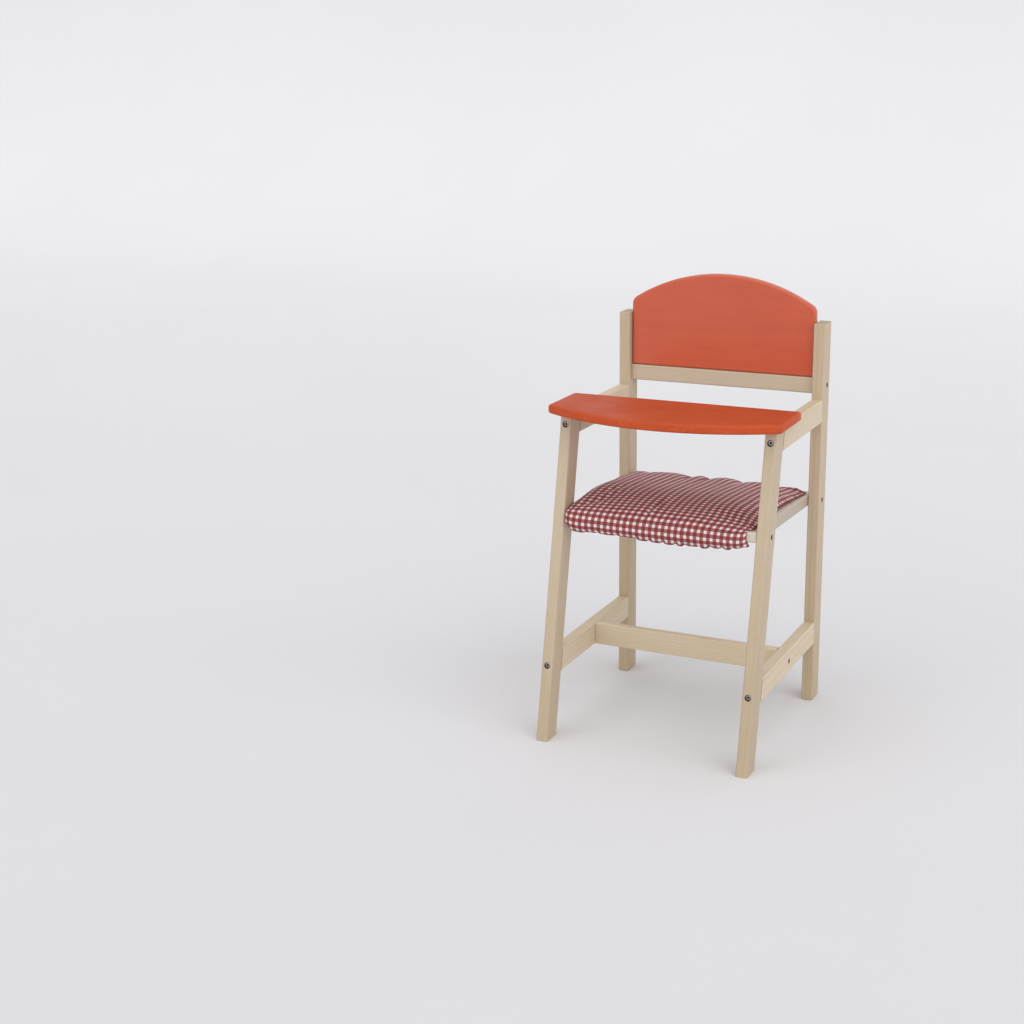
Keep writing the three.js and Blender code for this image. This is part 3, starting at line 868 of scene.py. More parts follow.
def soft_shading() -> bpy.types.GeometryNodeTree:
    """A modifier's node group that joins loose corners and shades smoothly over flat angles.

    Returns:
        The node group.
    """
    group = bpy.data.node_groups.new("soft_shading", "GeometryNodeTree")
    group.interface.new_socket("Geometry", in_out="INPUT", socket_type="NodeSocketGeometry")
    group.interface.new_socket("Geometry", in_out="OUTPUT", socket_type="NodeSocketGeometry")
    add, link = group.nodes.new, group.links.new
    merge = add("GeometryNodeMergeByDistance")
    merge.inputs["Distance"].default_value = WELD
    forget = add("GeometryNodeRemoveAttribute")
    forget.inputs["Name"].default_value = "custom_normal"
    angle = add("GeometryNodeInputMeshEdgeAngle")
    flat = add("FunctionNodeCompare")
    flat.operation = "LESS_THAN"
    flat.inputs[1].default_value = math.radians(FLAT_ANGLE)
    faces = add("GeometryNodeSetShadeSmooth")
    edges = add("GeometryNodeSetShadeSmooth")
    edges.domain = "EDGE"
    link(add("NodeGroupInput").outputs[0], merge.inputs[0])
    link(merge.outputs[0], forget.inputs[0])
    link(forget.outputs[0], faces.inputs[0])
    link(faces.outputs[0], edges.inputs[0])
    link(angle.outputs["Unsigned Angle"], flat.inputs[0])
    link(flat.outputs[0], edges.inputs["Shade Smooth"])
    link(edges.outputs[0], add("NodeGroupOutput").inputs[0])
    return group


@dataclass
class FrameDressing:
    """Dresses the CAD nodes that keep their own shapes.

    Attributes:
        nodes: The frame's objects by node name.
        rail_wood: Finish of the arms, stretchers and crossbar.
        leg_wood: Finish of the front legs.
        post_wood: Finish of the rear posts.
        board_wood: Finish of the back rail.
        seat_wood: Finish of the seat board, which is paler.
        dowel: Finish of the dowels.
        steel: Finish of the bolts.
        zinc: Finish of the screws.
    """

    nodes: dict[str, Piece]
    rail_wood: WoodFinish
    leg_wood: WoodFinish
    post_wood: WoodFinish
    board_wood: WoodFinish
    seat_wood: WoodFinish
    dowel: WoodFinish
    steel: SteelFinish
    zinc: SteelFinish

    def dress(self, node: str, material: Material, shading: bpy.types.GeometryNodeTree) -> None:
        """Gives a node its material and smooth edges.

        Args:
            node: Name of the node.
            material: The material.
            shading: What soft_shading made.
        """
        piece = self.nodes[node]
        for slot in piece.material_slots:
            slot.material = material
        modifier = piece.modifiers.new("soft_shading", "NODES")
        modifier.node_group = shading
        normals = piece.modifiers.new("flat_faces_first", "WEIGHTED_NORMAL")
        normals.weight = 100
        normals.keep_sharp = True
        LOG.info("%s dressed in %s", node, material.name)

    def build(self) -> None:
        """Dresses every wood, steel and dowel node, in a fixed order."""
        shading = soft_shading()
        bores = {node: Bore.around(node) for node in sorted(self.nodes) if "bolt" in node or "screw" in node}
        plans: list[tuple[str, WoodFinish, Grain]] = []
        for side in ("left", "right"):
            plans += [
                (f"front_leg_{side}", self.leg_wood, Grain.LEANING),
                (f"rear_post_{side}", self.post_wood, Grain.UPRIGHT),
                (f"arm_rail_{side}", self.rail_wood, Grain.FRONT_TO_BACK),
                (f"side_stretcher_{side}", self.rail_wood, Grain.FRONT_TO_BACK),
                (f"tray_dowel_front_{side}", self.dowel, Grain.UPRIGHT),
                (f"tray_dowel_rear_{side}", self.dowel, Grain.UPRIGHT),
                (f"panel_side_dowel_{side}", self.dowel, Grain.SIDE_TO_SIDE),
                (f"panel_base_dowel_{side}", self.dowel, Grain.UPRIGHT),
            ]
        plans += [
            ("crossbar", self.rail_wood, Grain.SIDE_TO_SIDE),
            ("back_rail", self.board_wood, Grain.SIDE_TO_SIDE),
            ("seat_board", self.seat_wood, Grain.SIDE_TO_SIDE),
        ]
        for seed, (node, finish, grain) in enumerate(plans):
            inside = [bore for bore in bores.values() if bore.enters(node)]
            self.dress(node, finish.material(f"wood_of_{node}", grain, seed, inside), shading)
        for node, bore in bores.items():
            finish = self.steel if "bolt" in node else self.zinc
            self.dress(node, finish.material(f"steel_of_{node}", bore), shading)


# Seat cushion


@dataclass
class Gathers:
    """Places where a seam's thread draws the cloth in, with soft lobes between them.

    Attributes:
        cusps: The places, in rising order.
        sizes: Height of the lobe after each place.
    """

    cusps: np.ndarray
    sizes: np.ndarray

    @classmethod
    def at(cls, millimetres: list[float], sizes: list[float]) -> "Gathers":
        """Makes gathers from lists in millimetres."""
        return cls(np.array(millimetres) * MM, np.array(sizes) * MM)

    @classmethod
    def drawn(cls, seed: int, start: float, end: float, spacing: Span, size: Span) -> "Gathers":
        """Draws gathers at uneven distances.

        Args:
            seed: Seed of the draw.
            start: First place.
            end: Last place.
            spacing: Least and greatest distance between two.
            size: Least and greatest height of a lobe.

        Returns:
            The gathers.
        """
        draw = np.random.default_rng(seed)
        steps = draw.uniform(*spacing, int((end - start) / spacing[0]) + 2)
        places = start + np.concatenate([[0], np.cumsum(steps)])
        return cls(places, draw.uniform(*size, len(places)))

    def lobes(self, place: np.ndarray) -> np.ndarray:
        """Height of the lobes: the size times (sin pi q)^0.7, with q from 0 to 1 between two cusps.

        Args:
            place: Places along the seam.

        Returns:
            Heights, 0 at the cusps.
        """
        phase = np.interp(place, self.cusps, np.arange(len(self.cusps), dtype=float))
        index = np.clip(phase.astype(int), 0, len(self.sizes) - 1)
        return self.sizes[index] * np.abs(np.sin(np.pi * (phase - index))) ** 0.7

    def creases(self, place: np.ndarray, width: float) -> np.ndarray:
        """Bell curves of one width at the cusps: 1 at a cusp and 0 away from them."""
        nearest = np.abs(place[:, None] - self.cusps[None, :]).min(axis=1)
        return np.exp(-((nearest / width) ** 2))


@dataclass
class SeatCushion:
    """The stuffed cushion and the pocket that holds it on the front of the seat board.

    It lies in the seat's own directions: across is x, along runs back from the board's front edge on the
    tilted board, and above is the height over the board. Its skin is two sheets on one grid. Columns run
    across from the left seam to the right one, and rows along the cloth from the end of the flap under
    the board, round the hem and over the crown, to the back seam. The outer sheet is the inner one plus
    the padding, and the two share the points of all four seams.

    Attributes:
        front_y: Place of the board's front edge.
        front_z: Height of the board's top at its front edge.
        drop: How much lower the board's back edge lies.
        reach: Level length of the board.
        thickness: Thickness of the board.
        length: Length of the cushion back from the board's front edge.
        crown: Its height over the board before it is stuffed.
        left: Where its left seam lies at the front.
        right: Where its right seam lies at the front.
        columns: Grid points across.
        rows: Grid points along.
        gap: Room between cushion and board.
        back_seam: Height of the back seam over the board.
        side_seam: Height of the side seams over the board.
        half_room: How far from the middle it may lie, just short of the legs.
        frames: Steps of the cloth simulation.
        cap: What the largest moves of the simulation are held back to.
    """

    front_y: float = -84.12 * MM
    front_z: float = 271.5 * MM
    drop: float = 8 * MM
    reach: float = 222.62 * MM
    thickness: float = 12.5 * MM
    length: float = 204.8 * MM
    crown: float = 13.4 * MM
    left: float = -115.6 * MM
    right: float = 110 * MM
    columns: int = 81
    rows: int = 105
    gap: float = 0.3 * MM
    back_seam: float = 7.8 * MM
    side_seam: float = 2.4 * MM
    half_room: float = 116.6 * MM
    frames: int = 20
    cap: float = 3 * MM

    def place(self, across: Places, along: Places, above: Places) -> np.ndarray:
        """Carries seat directions into the chair's frame by a turn about x through the board's tilt.

        Args:
            across: Places across.
            along: Places back along the board.
            above: Heights over the board.

        Returns:
            x, y and z in the last axis.
        """
        tilt = math.atan2(self.drop, self.reach)
        y = self.front_y + along * math.cos(tilt) + above * math.sin(tilt)
        z = self.front_z - along * math.sin(tilt) + above * math.cos(tilt)
        return np.stack([across, y, z], axis=-1)

    def upwards(self) -> np.ndarray:
        """The direction square to the board."""
        return self.place(0, 0, 1) - self.place(0, 0, 0)

    def section(self) -> np.ndarray:
        """The outer sheet in the middle of the cushion, from the flap's end to the back seam.

        Returns:
            Places along and above, one row for each grid row.
        """
        flap = [(45, -14.8), (30, -14.9), (14, -15.3), (6, -17.8), (0.5, -21.2)]
        apron = [(-5.0, -20.9), (-8.8, -15.5), (-9.4, -8.5), (-6.0, -2.6), (-0.2, 2.3)]
        brow = [(7.4, 5.6), (19, 8.3), (34, 10.2), (52, 11.8), (72, 12.9), (92, 13.1)]
        seat = [(114, 12.4), (136, 11.2), (158, 10.3), (178, 10.0), (192, 9.6), (201, 8.6), (204.8, 7.8)]
        knots = np.array([*flap, *apron, *brow, *seat]) * MM
        knots[:, 1] = np.where(knots[:, 1] > 0, knots[:, 1] * self.crown / (14 * MM), knots[:, 1])
        return smooth_path(knots, self.rows)

    def lining(self, skin: np.ndarray) -> np.ndarray:
        """The point of the inner sheet behind each point of the section.

        It is the nearest point of the board's wrap, but the last 24 mm rise to the back seam in a quarter
        ellipse. A small share of even spacing along the wrap keeps the points apart round its corners.

        Args:
            skin: Places along and above of the outer sheet.

        Returns:
            Places along and above of the inner sheet.
        """
        low = -self.thickness - self.gap
        along, above = skin.T
        front = along < 0
        under = (above < 0) & ~front
        rise = ellipse_rise(along, self.length - 24 * MM, self.length)
        top = self.gap + (self.back_seam - self.gap) * rise
        nearest_along = np.where(front, -self.gap, along)
        nearest_above = np.where(front, np.clip(above, low, self.gap), np.where(under, low, top))
        nearest = np.stack([nearest_along, nearest_above], axis=1)
        path = run_length(nearest)
        way = run_length(skin)
        spread = 0.85 * path + 0.15 * path[-1] * way / way[-1]
        return np.stack([np.interp(spread, path, part) for part in nearest.T], axis=1)

    def landmarks(self, along: float) -> tuple[float, float, float]:
        """The way along the cloth, from the flap's end, to three places.

        Args:
            along: The second place, back from the board's front edge on top.

        Returns:
            The way to the hem, to that place and to the back seam.
        """
        skin = self.section()
        way = run_length(skin)
        hem = way[skin[:, 1].argmin()]
        return hem, np.interp(along, skin[way > hem, 0], way[way > hem]), way[-1]

    def fullness(self, p: np.ndarray, back: np.ndarray, apron: np.ndarray) -> np.ndarray:
        """How much of the padding is left at each place: (1 - p^k)^0.5, with blunter ends down the front.

        Args:
            p: Places across, from -1 at the left seam to 1 at the right.
            back: Places back, from 0 at the front to 1 at the back seam.
            apron: 1 on the cloth down the board's front, 0 on the board.

        Returns:
            Shares with one row for each place back and one column for each place across.
        """
        power = np.where(p[None, :] < 0, 26 - 10 * apron[:, None], 7 + 9 * apron[:, None])
        share = np.sqrt(np.clip(1 - np.abs(p[None, :]) ** power, 0, 1))
        corner = smooth_step(back, 0.72, 1)[:, None] * smooth_step(np.abs(p), 0.72, 1)[None, :]
        return share * (1 - np.where(p[None, :] < 0, 0.15, 0.5) * corner)

    def sheets(self) -> tuple[np.ndarray, list[list[int]], dict[str, np.ndarray]]:
        """Both sheets before they are stuffed.

        Columns have equal steps along the cloth over the crown, so the bands of the cloth keep their width
        down the sides. The seams draw in between the corners by a sine.

        Returns:
            The points, the faces, and for each point its flat place u across and v along the cloth in
            metres, 1 on the outer sheet, and 1 on a seam.
        """
        skin = self.section()
        inner = self.lining(skin)
        along, above = skin.T
        way = run_length(skin)
        fine = np.linspace(-1, 1, 2001)
        half = (self.right - self.left) / 2
        profile = self.crown * self.fullness(fine, np.full(1, 0.3), np.zeros(1))[0]
        arc = np.concatenate([[0], np.cumsum(np.hypot(np.diff(fine) * half, np.diff(profile)))])
        u = np.linspace(0, arc[-1], self.columns)
        p = np.interp(u, arc, fine)
        back = np.clip(along / self.length, 0, 1)
        apron = np.where(along < 30 * MM, 1 - smooth_step(above, -2 * MM, 10 * MM), 0.0)
        on_top = np.where(above > 0, smooth_step(along, 0, 25 * MM), 0.0)
        sine = np.sin(np.pi * back)
        bulge = 2.4 * MM * hill(along, 9 * MM, 14 * MM) * np.where(above > 0, 1 - apron, 0)
        right = self.right - 4.4 * MM * sine + 2.0 * MM * back**3 - 3.8 * MM * apron + bulge
        left = self.left - 0.7 * MM * apron
        across = ((left + right) / 2)[:, None] + ((right - left) / 2)[:, None] * p[None, :]
        fill = self.fullness(p, back, apron)
        raised = self.side_seam * on_top[:, None] * ellipse_rise(np.abs(p), 0.86, 1)[None, :]
        ends = (smooth_step(np.abs(p), 0.9, 1) * 0.75)[None, :]
        sunk = on_top[:, None] * (inner[:, 1:] - self.gap) * ends
        inner_along = np.broadcast_to(inner[:, :1], across.shape)
        inner_above = inner[:, 1:] + (raised - sunk)
        outer_along = inner_along + (skin - inner)[:, :1] * fill
        past_front = on_top * smooth_step(along, 15 * MM, 70 * MM)
        plump = smooth_step(-p, 0.3, 0.85)[None, :] * past_front[:, None]
        outer_above = inner_above + (skin - inner)[:, 1:] * fill * (1 + 0.24 * plump)
        outside = self.place(across, outer_along, outer_above)
        inside = self.place(across, inner_along, inner_above)
        count = self.rows * self.columns
        number = np.arange(count).reshape(self.rows, self.columns)
        seam = np.ones(number.shape, bool)
        seam[1:-1, 1:-1] = False
        number_inside = np.where(seam, number, number + count)
        keep = np.concatenate([np.arange(count), number_inside[~seam]])
        renumber = np.zeros(2 * count, int)
        renumber[keep] = np.arange(len(keep))
        quads = grid_faces(self.rows, self.columns)
        faces = np.vstack([number.ravel()[quads], renumber[number_inside.ravel()[quads]][:, ::-1]]).tolist()
        points = np.vstack([outside.reshape(-1, 3), inside.reshape(-1, 3)])[keep]
        flat_u, flat_v = np.meshgrid(u, way)
        values = {"u": flat_u, "v": flat_v, "outer": np.ones(number.shape), "seam": seam.astype(float)}
        doubled = {name: np.tile(value.ravel(), 2)[keep] for name, value in values.items()}
        doubled["outer"][count:] = 0.0
        return points, faces, doubled

    def build(self, finish: GinghamFinish, edge: GinghamFinish) -> None:
        """Makes the cushion and its sewn edge.

        Args:
            finish: The cloth.
            edge: The cloth where it is folded into the seam, in darker colours that paint the shade of the
                fold.
        """
        points, faces, values = self.sheets()
        piece = make_piece("gingham_cushion", points, faces, finish.material("gingham_cotton"))
        write_cloth_values(piece.data, values)
        self.stuff(piece)
        subdivide(piece)
        self.pucker(piece)
        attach(piece, "cushion")
        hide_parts("seat_cushion")
        LOG.info("%s: %d faces", piece.name, len(piece.data.polygons))
        self.sewn_edge(piece.data, edge)

    def stuff(self, piece: Piece) -> None:
        """Blows the outer sheet up as cloth and keeps a held-back part of what that moves.

        A point moves by d (1 - e^(-m/d)) for a simulated move m and the cap d, so small moves stay as they
        are and large ones end at the cap.

        Args:
            piece: The cushion.
        """
        mesh = piece.data
        outer, seam = read_values(mesh, "outer", "seam")
        pinned = piece.vertex_groups.new(name="pinned")
        pinned.add(np.flatnonzero((outer < 0.5) | (seam > 0.5)).tolist(), 1.0, "REPLACE")
        before = read(mesh.vertices, "co", 3)
        modifier = piece.modifiers.new("stuffing", "CLOTH")
        cloth = modifier.settings
        cloth.quality = 7
        cloth.mass = 0.15
        cloth.tension_stiffness = 12
        cloth.compression_stiffness = 8
        cloth.shear_stiffness = 4
        cloth.bending_stiffness = 0.1
        cloth.vertex_group_mass = "pinned"
        cloth.use_pressure = True
        cloth.uniform_pressure_force = 4
        cloth.effector_weights.gravity = 0
        modifier.collision_settings.use_collision = False
        scene = bpy.context.scene
        modifier.point_cache.frame_start, modifier.point_cache.frame_end = 1, self.frames
        for frame in range(1, self.frames + 1):
            scene.frame_set(frame)
        blown = piece.evaluated_get(bpy.context.evaluated_depsgraph_get())
        after = read(blown.data.vertices, "co", 3)
        piece.modifiers.remove(modifier)
        piece.vertex_groups.remove(pinned)
        scene.frame_set(1)
        move = after - before
        size = np.linalg.norm(move, axis=1, keepdims=True)
        held = move / np.maximum(size, SAME_PLACE) * self.cap * (1 - fade(size, self.cap))
        LOG.info("cushion: cloth moved %.1f mm at most, %.1f in the mean", size.max() / MM, size.mean() / MM)
        move_points(mesh, before + held)

    def pucker(self, piece: Piece) -> None:
        """Moves the finished skin: gathers at the seams, a ruffled hem, a fold and lumps of the filling.

        The side seams and the hem have lobes that fade with the distance d from them as e^(-d/f), and the
        back seam as e^(-d d/f f). Creases lie at the cusps between the lobes. Every lump is a bell curve in
        both directions of the cloth.

        Args:
            piece: The cushion.
        """
        mesh = piece.data
        points, normals = read(mesh.vertices, "co", 3), read(mesh.vertex_normals, "vector", 3)
        u, v, outer = read_values(mesh, "u", "v", "outer")
        x = points[:, 0]
        up = self.upwards()
        above = (points - self.place(0, 0, 0)) @ up
        hem, brow, end = self.landmarks(0.0)
        width = u.max()
        free = np.where(outer > 0.5, 1.0, np.clip(above / (6 * MM), 0, 1))
        out, rise, sideways = np.zeros(len(x)), np.zeros(len(x)), np.zeros(len(x))

        back = Gathers.at([-118, -87, -34, -11, 32, 80, 116], [1.6, 3.6, 3.4, 4.1, 3.1, 0.9])
        near = np.exp(-(((end - v) / (30 * MM)) ** 2))
        rise += (back.lobes(x) - 1.9 * MM) * near * free
        out -= 1.3 * MM * back.creases(x, 2.0 * MM) * fade(end - v, 22 * MM) * outer

        on_board = smooth_step(v, brow - 4 * MM, brow + 12 * MM)
        for seed, inside, sign in ((3, u, -1.0), (4, width - u, 1.0)):
            side = Gathers.drawn(seed, brow - 4 * MM, end, (9 * MM, 19 * MM), (0.5 * MM, 1.5 * MM))
            near = fade(inside, 9 * MM) * on_board
            sideways += sign * (side.lobes(v) - 0.7 * MM) * near * free
            out -= 0.8 * MM * side.creases(v, 1.8 * MM) * fade(inside, 10 * MM) * on_board * outer

        ruffle = Gathers.drawn(8, -130 * MM, 124 * MM, (9 * MM, 27 * MM), (0.3 * MM, 1.5 * MM))
        slanted = x - 0.9 * np.clip(v - hem, -4 * MM, 16 * MM)
        near = fade(np.abs(v - hem), 5.5 * MM) * outer
        droop = 2.0 * MM * window(-x, (83 * MM, 90 * MM), (106 * MM, 112 * MM))
        droop += 1.3 * MM * window(x, (-34 * MM, -20 * MM), (50 * MM, 70 * MM))
        rise -= (ruffle.lobes(x) - 0.6 * MM + droop) * near
        out += 0.5 * ruffle.lobes(slanted) * near
        out -= 1.1 * MM * ruffle.creases(slanted, 1.5 * MM) * fade(np.abs(v - hem), 8 * MM) * outer
        groove = hem + 3.8 * MM + 0.6 * ruffle.lobes(x + 9 * MM)
        depth = 0.5 * MM + 0.7 * ruffle.lobes(x - 5 * MM)
        out -= depth * hill(v, groove, 1.5 * MM) * outer
        curl = hill(v, hem, 3.5 * MM) * smooth_step(u / width, 0.955, 1.0)
        sideways += 3.6 * MM * curl
        rise -= 3.0 * MM * curl

        fold_x = -17 * MM + 0.12 * (v - brow)
        fold = window(v - brow, (-6 * MM, 5 * MM), (35 * MM, 90 * MM))
        relief = 0.6 * MM * hill(x, fold_x + 4.5 * MM, 3 * MM) - 1.6 * MM * hill(x, fold_x, 1.7 * MM)
        out += relief * fold * outer

        draw = np.random.default_rng(41)
        lumps = np.zeros(len(x))
        for _ in range(26):
            centre_u, centre_v = draw.uniform(0.06, 0.94) * width, draw.uniform(hem + 12 * MM, end - 12 * MM)
            spread = draw.uniform(9, 24) * MM
            lumps += draw.uniform(-0.8, 0.8) * MM * hill(u, centre_u, spread) * hill(v, centre_v, spread)
        out += lumps * outer * smooth_step(end - v, 0, 15 * MM)
        moved = points + normals * out[:, None] + up * rise[:, None]
        moved[:, 0] = np.clip(moved[:, 0] + sideways, -self.half_room, self.half_room)
        move_points(mesh, moved)

    def sewn_edge(self, mesh: Mesh, finish: GinghamFinish) -> None:
        """Adds the narrow folded edge that stands out of the side and back seams.

        It is a flat ellipse carried along the seam, 0.5 mm outside it: 1.3 mm cos a sideways and 0.8 mm
        sin a upwards. It narrows over the last six points at both ends.

        Args:
            mesh: The finished cushion.
            finish: The cloth of the edge, darkened to paint the shade in the seam.
        """
        points = read(mesh.vertices, "co", 3)
        u, v = read_values(mesh, "u", "v")
        start = self.landmarks(2 * MM)[1]
        end, width = v.max(), u.max()
        tiny = 100 * SAME_PLACE
        between = (v > start) & (v < end - tiny)
        right, left = np.flatnonzero(between & (u > width - tiny)), np.flatnonzero(between & (u < tiny))
        seams = ((right, v), (np.flatnonzero(v > end - tiny), -u), (left, -v))
        order = np.concatenate([seam[np.argsort(key[seam])] for seam, key in seams])
        path = points[order]
        smooth = (np.roll(path, 1, axis=0) + 2 * path + np.roll(path, -1, axis=0)) / 4
        path[1:-1] = smooth[1:-1]
        heading = np.gradient(path, axis=0)
        heading /= np.linalg.norm(heading, axis=1, keepdims=True)
        up = self.upwards()
        aside = np.cross(heading, up)
        aside /= np.linalg.norm(aside, axis=1, keepdims=True)
        angle = np.linspace(0, 2 * math.pi, 10, endpoint=False)
        circle = np.stack([np.cos(angle), np.sin(angle)], axis=1)
        steps = np.arange(len(path))
        taper = np.minimum(1, np.minimum(steps, steps[::-1]) / 6 + 0.15)[:, None, None]
        sideways = (circle[:, :1] * 1.3 * MM + 0.5 * MM) * aside[:, None, :]
        tube = path[:, None, :] + (sideways + circle[:, 1:] * 0.8 * MM * up) * taper
        tube[..., 0] = np.clip(tube[..., 0], -self.half_room, self.half_room)
        placed = np.vstack([tube.reshape(-1, 3), tube[0].mean(axis=0), tube[-1].mean(axis=0)])
        faces = tube_faces(len(path), len(circle), flipped=True)
        piece = make_piece("cushion_sewn_edge", placed, faces, finish.material("gingham_fold_shaded"))
        flat = np.stack([u[order], v[order]], axis=1)
        rim = np.repeat(flat, len(circle), axis=0) + np.tile(circle, (len(path), 1)) * MM
        flat_u, flat_v = np.vstack([rim, flat[:1], flat[-1:]]).T
        write_cloth_values(piece.data, {"u": flat_u, "v": flat_v})
        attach(piece, "cushion")
        LOG.info("%s: %d faces", piece.name, len(faces))


# Stage


def direction(azimuth: float, elevation: float) -> Vector:
    """The direction at an azimuth from -Y towards +X and an elevation over the level, in degrees."""
    a, e = math.radians(azimuth), math.radians(elevation)
    return Vector((math.sin(a) * math.cos(e), -math.cos(a) * math.cos(e), math.sin(e)))


def bend(reach: float, wall: float, steps: int) -> np.ndarray:
    """The profile of a floor that turns up into a wall, by a quarter circle of 1.4 m.

    Args:
        reach: Where the floor starts to turn up.
        wall: Height of the wall.
        steps: Points on the quarter circle.

    Returns:
        One row of distance and height for each point.
    """
    angle, radius = np.linspace(0, math.pi / 2, steps), 1.4
    turn = np.stack([reach + radius * np.sin(angle), radius * (1 - np.cos(angle))], axis=1)
    return np.vstack([turn, [[reach + radius, wall]]])


@dataclass
class Studio:
    """Floor, backdrop, lights and camera.

    Attributes:
        azimuth: Direction of the camera's axis, from -Y towards +X, in degrees.
        elevation: Height of the camera's axis over the level, in degrees.
        roll: How far the camera is rolled, in degrees.
        distance: From the target to the camera.
        target: A point on the camera's axis.
        focal_pixels: Focal length in pixels of the picture.
        floor_colour: Colour of floor and backdrop.
        far_colour: How bright the far ring looks.
        lamp_breadth: How broad the lamps look from the chair, in degrees.
        room_light: How strong the even light from all round is.
    """

    azimuth: float = 26.459
    elevation: float = 15.838
    roll: float = -0.876
    distance: float = 2.0136
    target: tuple[float, float, float] = (-0.19093, -0.07429, 0.25856)
    focal_pixels: float = 1682.8
    floor_colour: Rgb = (0.755, 0.75, 0.765)
    far_colour: Rgb = (0.81, 0.81, 0.83)
    lamp_breadth: float = 70.0
    room_light: float = 0.45

    def camera(self) -> None:
        """Sets up the camera from its azimuth, elevation and roll."""
        back, roll = direction(self.azimuth, self.elevation), math.radians(self.roll)
        level_right = (-back).cross(Vector((0, 0, 1))).normalized()
        level_up = level_right.cross(-back)
        right = level_right * math.cos(roll) + level_up * math.sin(roll)
        up = level_up * math.cos(roll) - level_right * math.sin(roll)
        data = bpy.data.cameras.new("photo_view")
        data.sensor_width = 36
        data.lens = self.focal_pixels * data.sensor_width / PICTURE_WIDTH
        data.clip_start, data.clip_end = 0.05, 50
        camera = add_object("photo_view", data)
        turn = Matrix((right, up, back)).transposed().to_4x4()
        camera.matrix_world = Matrix.Translation(Vector(self.target) + back * self.distance) @ turn
        bpy.context.scene.camera = camera

    def floor(self) -> Piece:
        """A floor that bends up into a backdrop: a profile that is carried along x.

        Returns:
            The floor.
        """
        profile = np.vstack([[[-16.0, 0.0], [-1.0, 0.0], [1.0, 0.0]], bend(3.0, 4.5, 24)])
        x = -np.linspace(-16, 16, 8)
        points = np.column_stack([np.tile(x, len(profile)), np.repeat(profile, len(x), axis=0)])
        graph = Graph("pale_floor")
        clouds = graph.ramp(graph.noise(graph.own_place(), 1.3, 2.0), 0.3, 0.7, 0.985, 1.0)
        colour = graph.shaded(self.floor_colour, clouds)
        graph.shader(Base_Color=colour, Roughness=0.9, Specular_IOR_Level=0.1)
        faces = grid_faces(len(profile), len(x))[:, ::-1].tolist()
        floor = make_piece("pale_floor", points, faces, graph.material)
        return floor

    def far_wall(self) -> Piece:
        """A pale ring past the floor, so that no side of the room is open: a bend and a wall turned about z.

        Only the camera sees it, and no light falls from it or is held back by it.

        Returns:
            The ring.
        """
        profile, steps = bend(13.5, 8.0, 12), 96
        turn = np.tile(np.linspace(0, 2 * math.pi, steps, endpoint=False), len(profile))
        distance, height = np.repeat(profile, steps, axis=0).T
        points = np.column_stack([distance * np.cos(turn), distance * np.sin(turn), height])
        graph = Graph("far_wall")
        graph.shader(
            Base_Color=(0.0, 0.0, 0.0),
            Specular_IOR_Level=0.0,
            Emission_Color=self.far_colour,
            Emission_Strength=1.0,
        )
        graph.material.cycles.emission_sampling = "NONE"
        faces = grid_faces(len(profile), steps, closed=True).tolist()
        ring = make_piece("far_wall", points, faces, graph.material)
        ring.visible_diffuse = ring.visible_glossy = ring.visible_transmission = ring.visible_shadow = False
        return ring

    def sun(self, name: str, azimuth: float, elevation: float, strength: float) -> None:
        """Adds a lamp as broad as a soft box and so far away that it lights everything alike.

        Args:
            name: Name of the lamp.
            azimuth: Where it stands, from -Y towards +X, in degrees.
            elevation: How high it stands, in degrees.
            strength: Light on a surface that faces it, in watts per square metre.
        """
        data = bpy.data.lights.new(name, "SUN")
        data.energy, data.angle = strength, math.radians(self.lamp_breadth)
        lamp = add_object(name, data)
        lamp.rotation_mode = "QUATERNION"
        lamp.rotation_quaternion = (-direction(azimuth, elevation)).to_track_quat("-Z", "Y")

    def build(self) -> None:
        """Builds the whole studio."""
        scene = bpy.context.scene
        scene.view_settings.view_transform = "Standard"
        self.camera()
        self.floor()
        self.far_wall()
        world = bpy.data.worlds.new("soft_room")
        world.use_nodes = True
        background = world.node_tree.nodes["Background"]
        background.inputs[0].default_value = (0.98, 0.985, 1.0, 1.0)
        background.inputs[1].default_value = self.room_light
        scene.world = world
        self.sun("front_box", -24, 10, 1.0)
        self.sun("right_box", 66, 26, 1.3)
        self.sun("top_box", -10, 76, 0.85)
        LOG.info("studio ready")


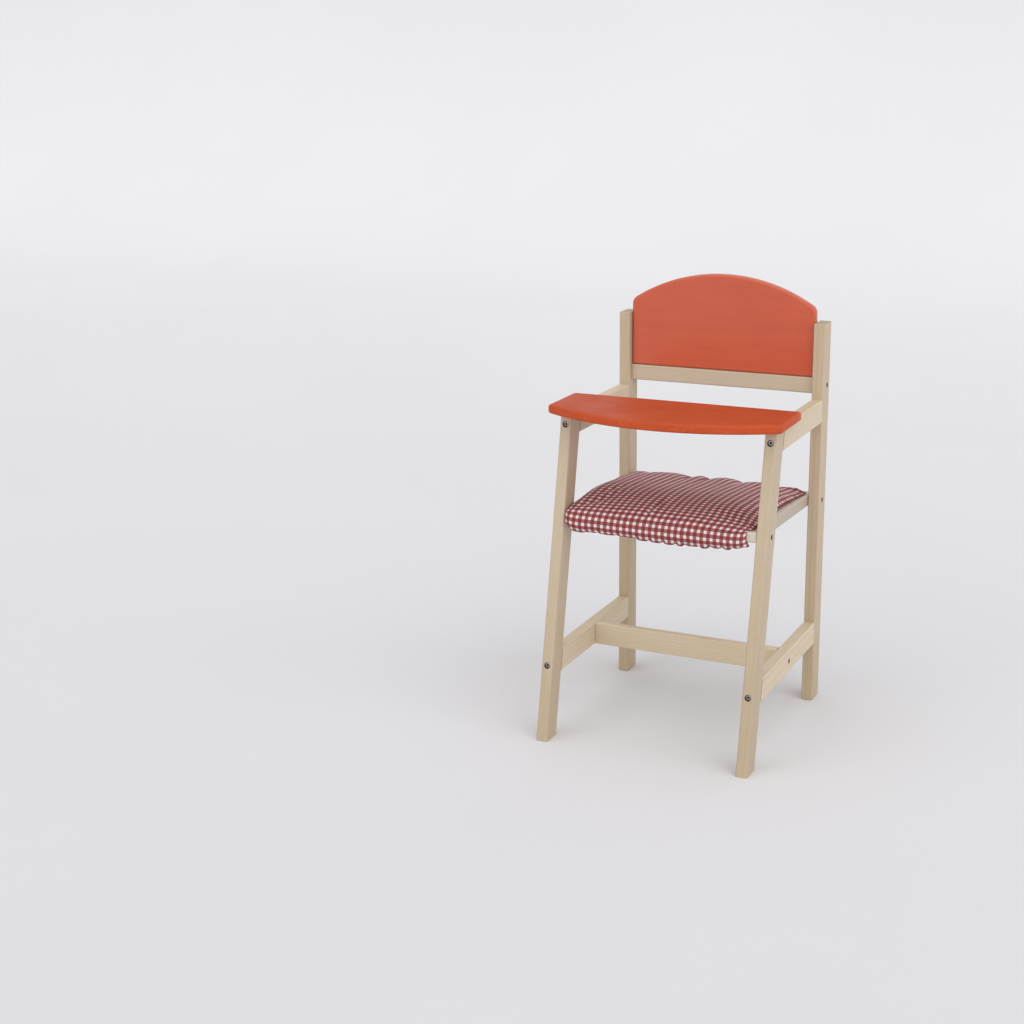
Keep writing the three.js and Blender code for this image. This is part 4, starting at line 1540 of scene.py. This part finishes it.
def main() -> None:
    """Builds the chair in order."""
    logging.basicConfig(level=logging.INFO, format="%(name)s: %(message)s")
    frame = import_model()
    Studio().build()
    rails = WoodFinish(light=(0.68, 0.565, 0.405), dark=(0.56, 0.43, 0.28), fleck=(0.36, 0.25, 0.15))
    legs = WoodFinish(
        light=(0.575, 0.465, 0.335), dark=(0.48, 0.365, 0.24), fleck=(0.32, 0.22, 0.13), foot_shade=0.12
    )
    posts = WoodFinish(
        light=(0.565, 0.445, 0.305), dark=(0.46, 0.34, 0.215), fleck=(0.31, 0.2, 0.12), foot_shade=0.1
    )
    boards = WoodFinish(
        light=(0.61, 0.49, 0.36), dark=(0.5, 0.385, 0.265), fleck=(0.34, 0.23, 0.14), roughness=0.5
    )
    seat = WoodFinish(
        light=(0.683, 0.598, 0.495), dark=(0.57, 0.48, 0.375), fleck=(0.4, 0.3, 0.2), roughness=0.5
    )
    bare = WoodFinish(
        light=(0.66, 0.52, 0.34), dark=(0.5, 0.36, 0.2), fleck=(0.32, 0.21, 0.11), roughness=0.7
    )
    steel = SteelFinish(colour=(0.62, 0.6, 0.57), dull=(0.33, 0.32, 0.3), socket=1.6 * MM)
    zinc = SteelFinish(colour=(0.6, 0.5, 0.34), dull=(0.38, 0.3, 0.19), socket=1.2 * MM, roughness=0.5)
    FrameDressing(frame["nodes"], rails, legs, posts, boards, seat, bare, steel, zinc).build()
    tray_red = StainFinish(
        colour=(0.54, 0.082, 0.023), deep=(0.46, 0.058, 0.015), rubbed=(0.62, 0.16, 0.07), gloss=0.0
    )
    panel_red = StainFinish(
        colour=(0.61, 0.09, 0.026), deep=(0.52, 0.062, 0.016), rubbed=(0.58, 0.13, 0.06), gloss=0.65
    )
    tray = BowedBoard(
        "tray", Lay.FLAT, side=75 * MM, shoulder_round=6 * MM, foot_round=6 * MM, edge_round=3.2 * MM
    )
    tray.build(tray_red.material("tray_red"))
    panel = BowedBoard(
        "back_panel",
        Lay.STANDING,
        side=81.5 * MM,
        shoulder_round=11 * MM,
        foot_round=3.5 * MM,
        edge_round=2.6 * MM,
    )
    panel.build(panel_red.material("panel_red"))
    cloth = GinghamFinish(white=(0.83, 0.71, 0.73), red=(0.25, 0.038, 0.032))
    # Painted shade: the sewn edge is the same gingham in darker colours, for the shade in the seam's fold.
    fold = GinghamFinish(white=(0.5, 0.3, 0.31), red=(0.2, 0.03, 0.03))
    SeatCushion().build(cloth, fold)


if __name__ == "__main__":
    main()
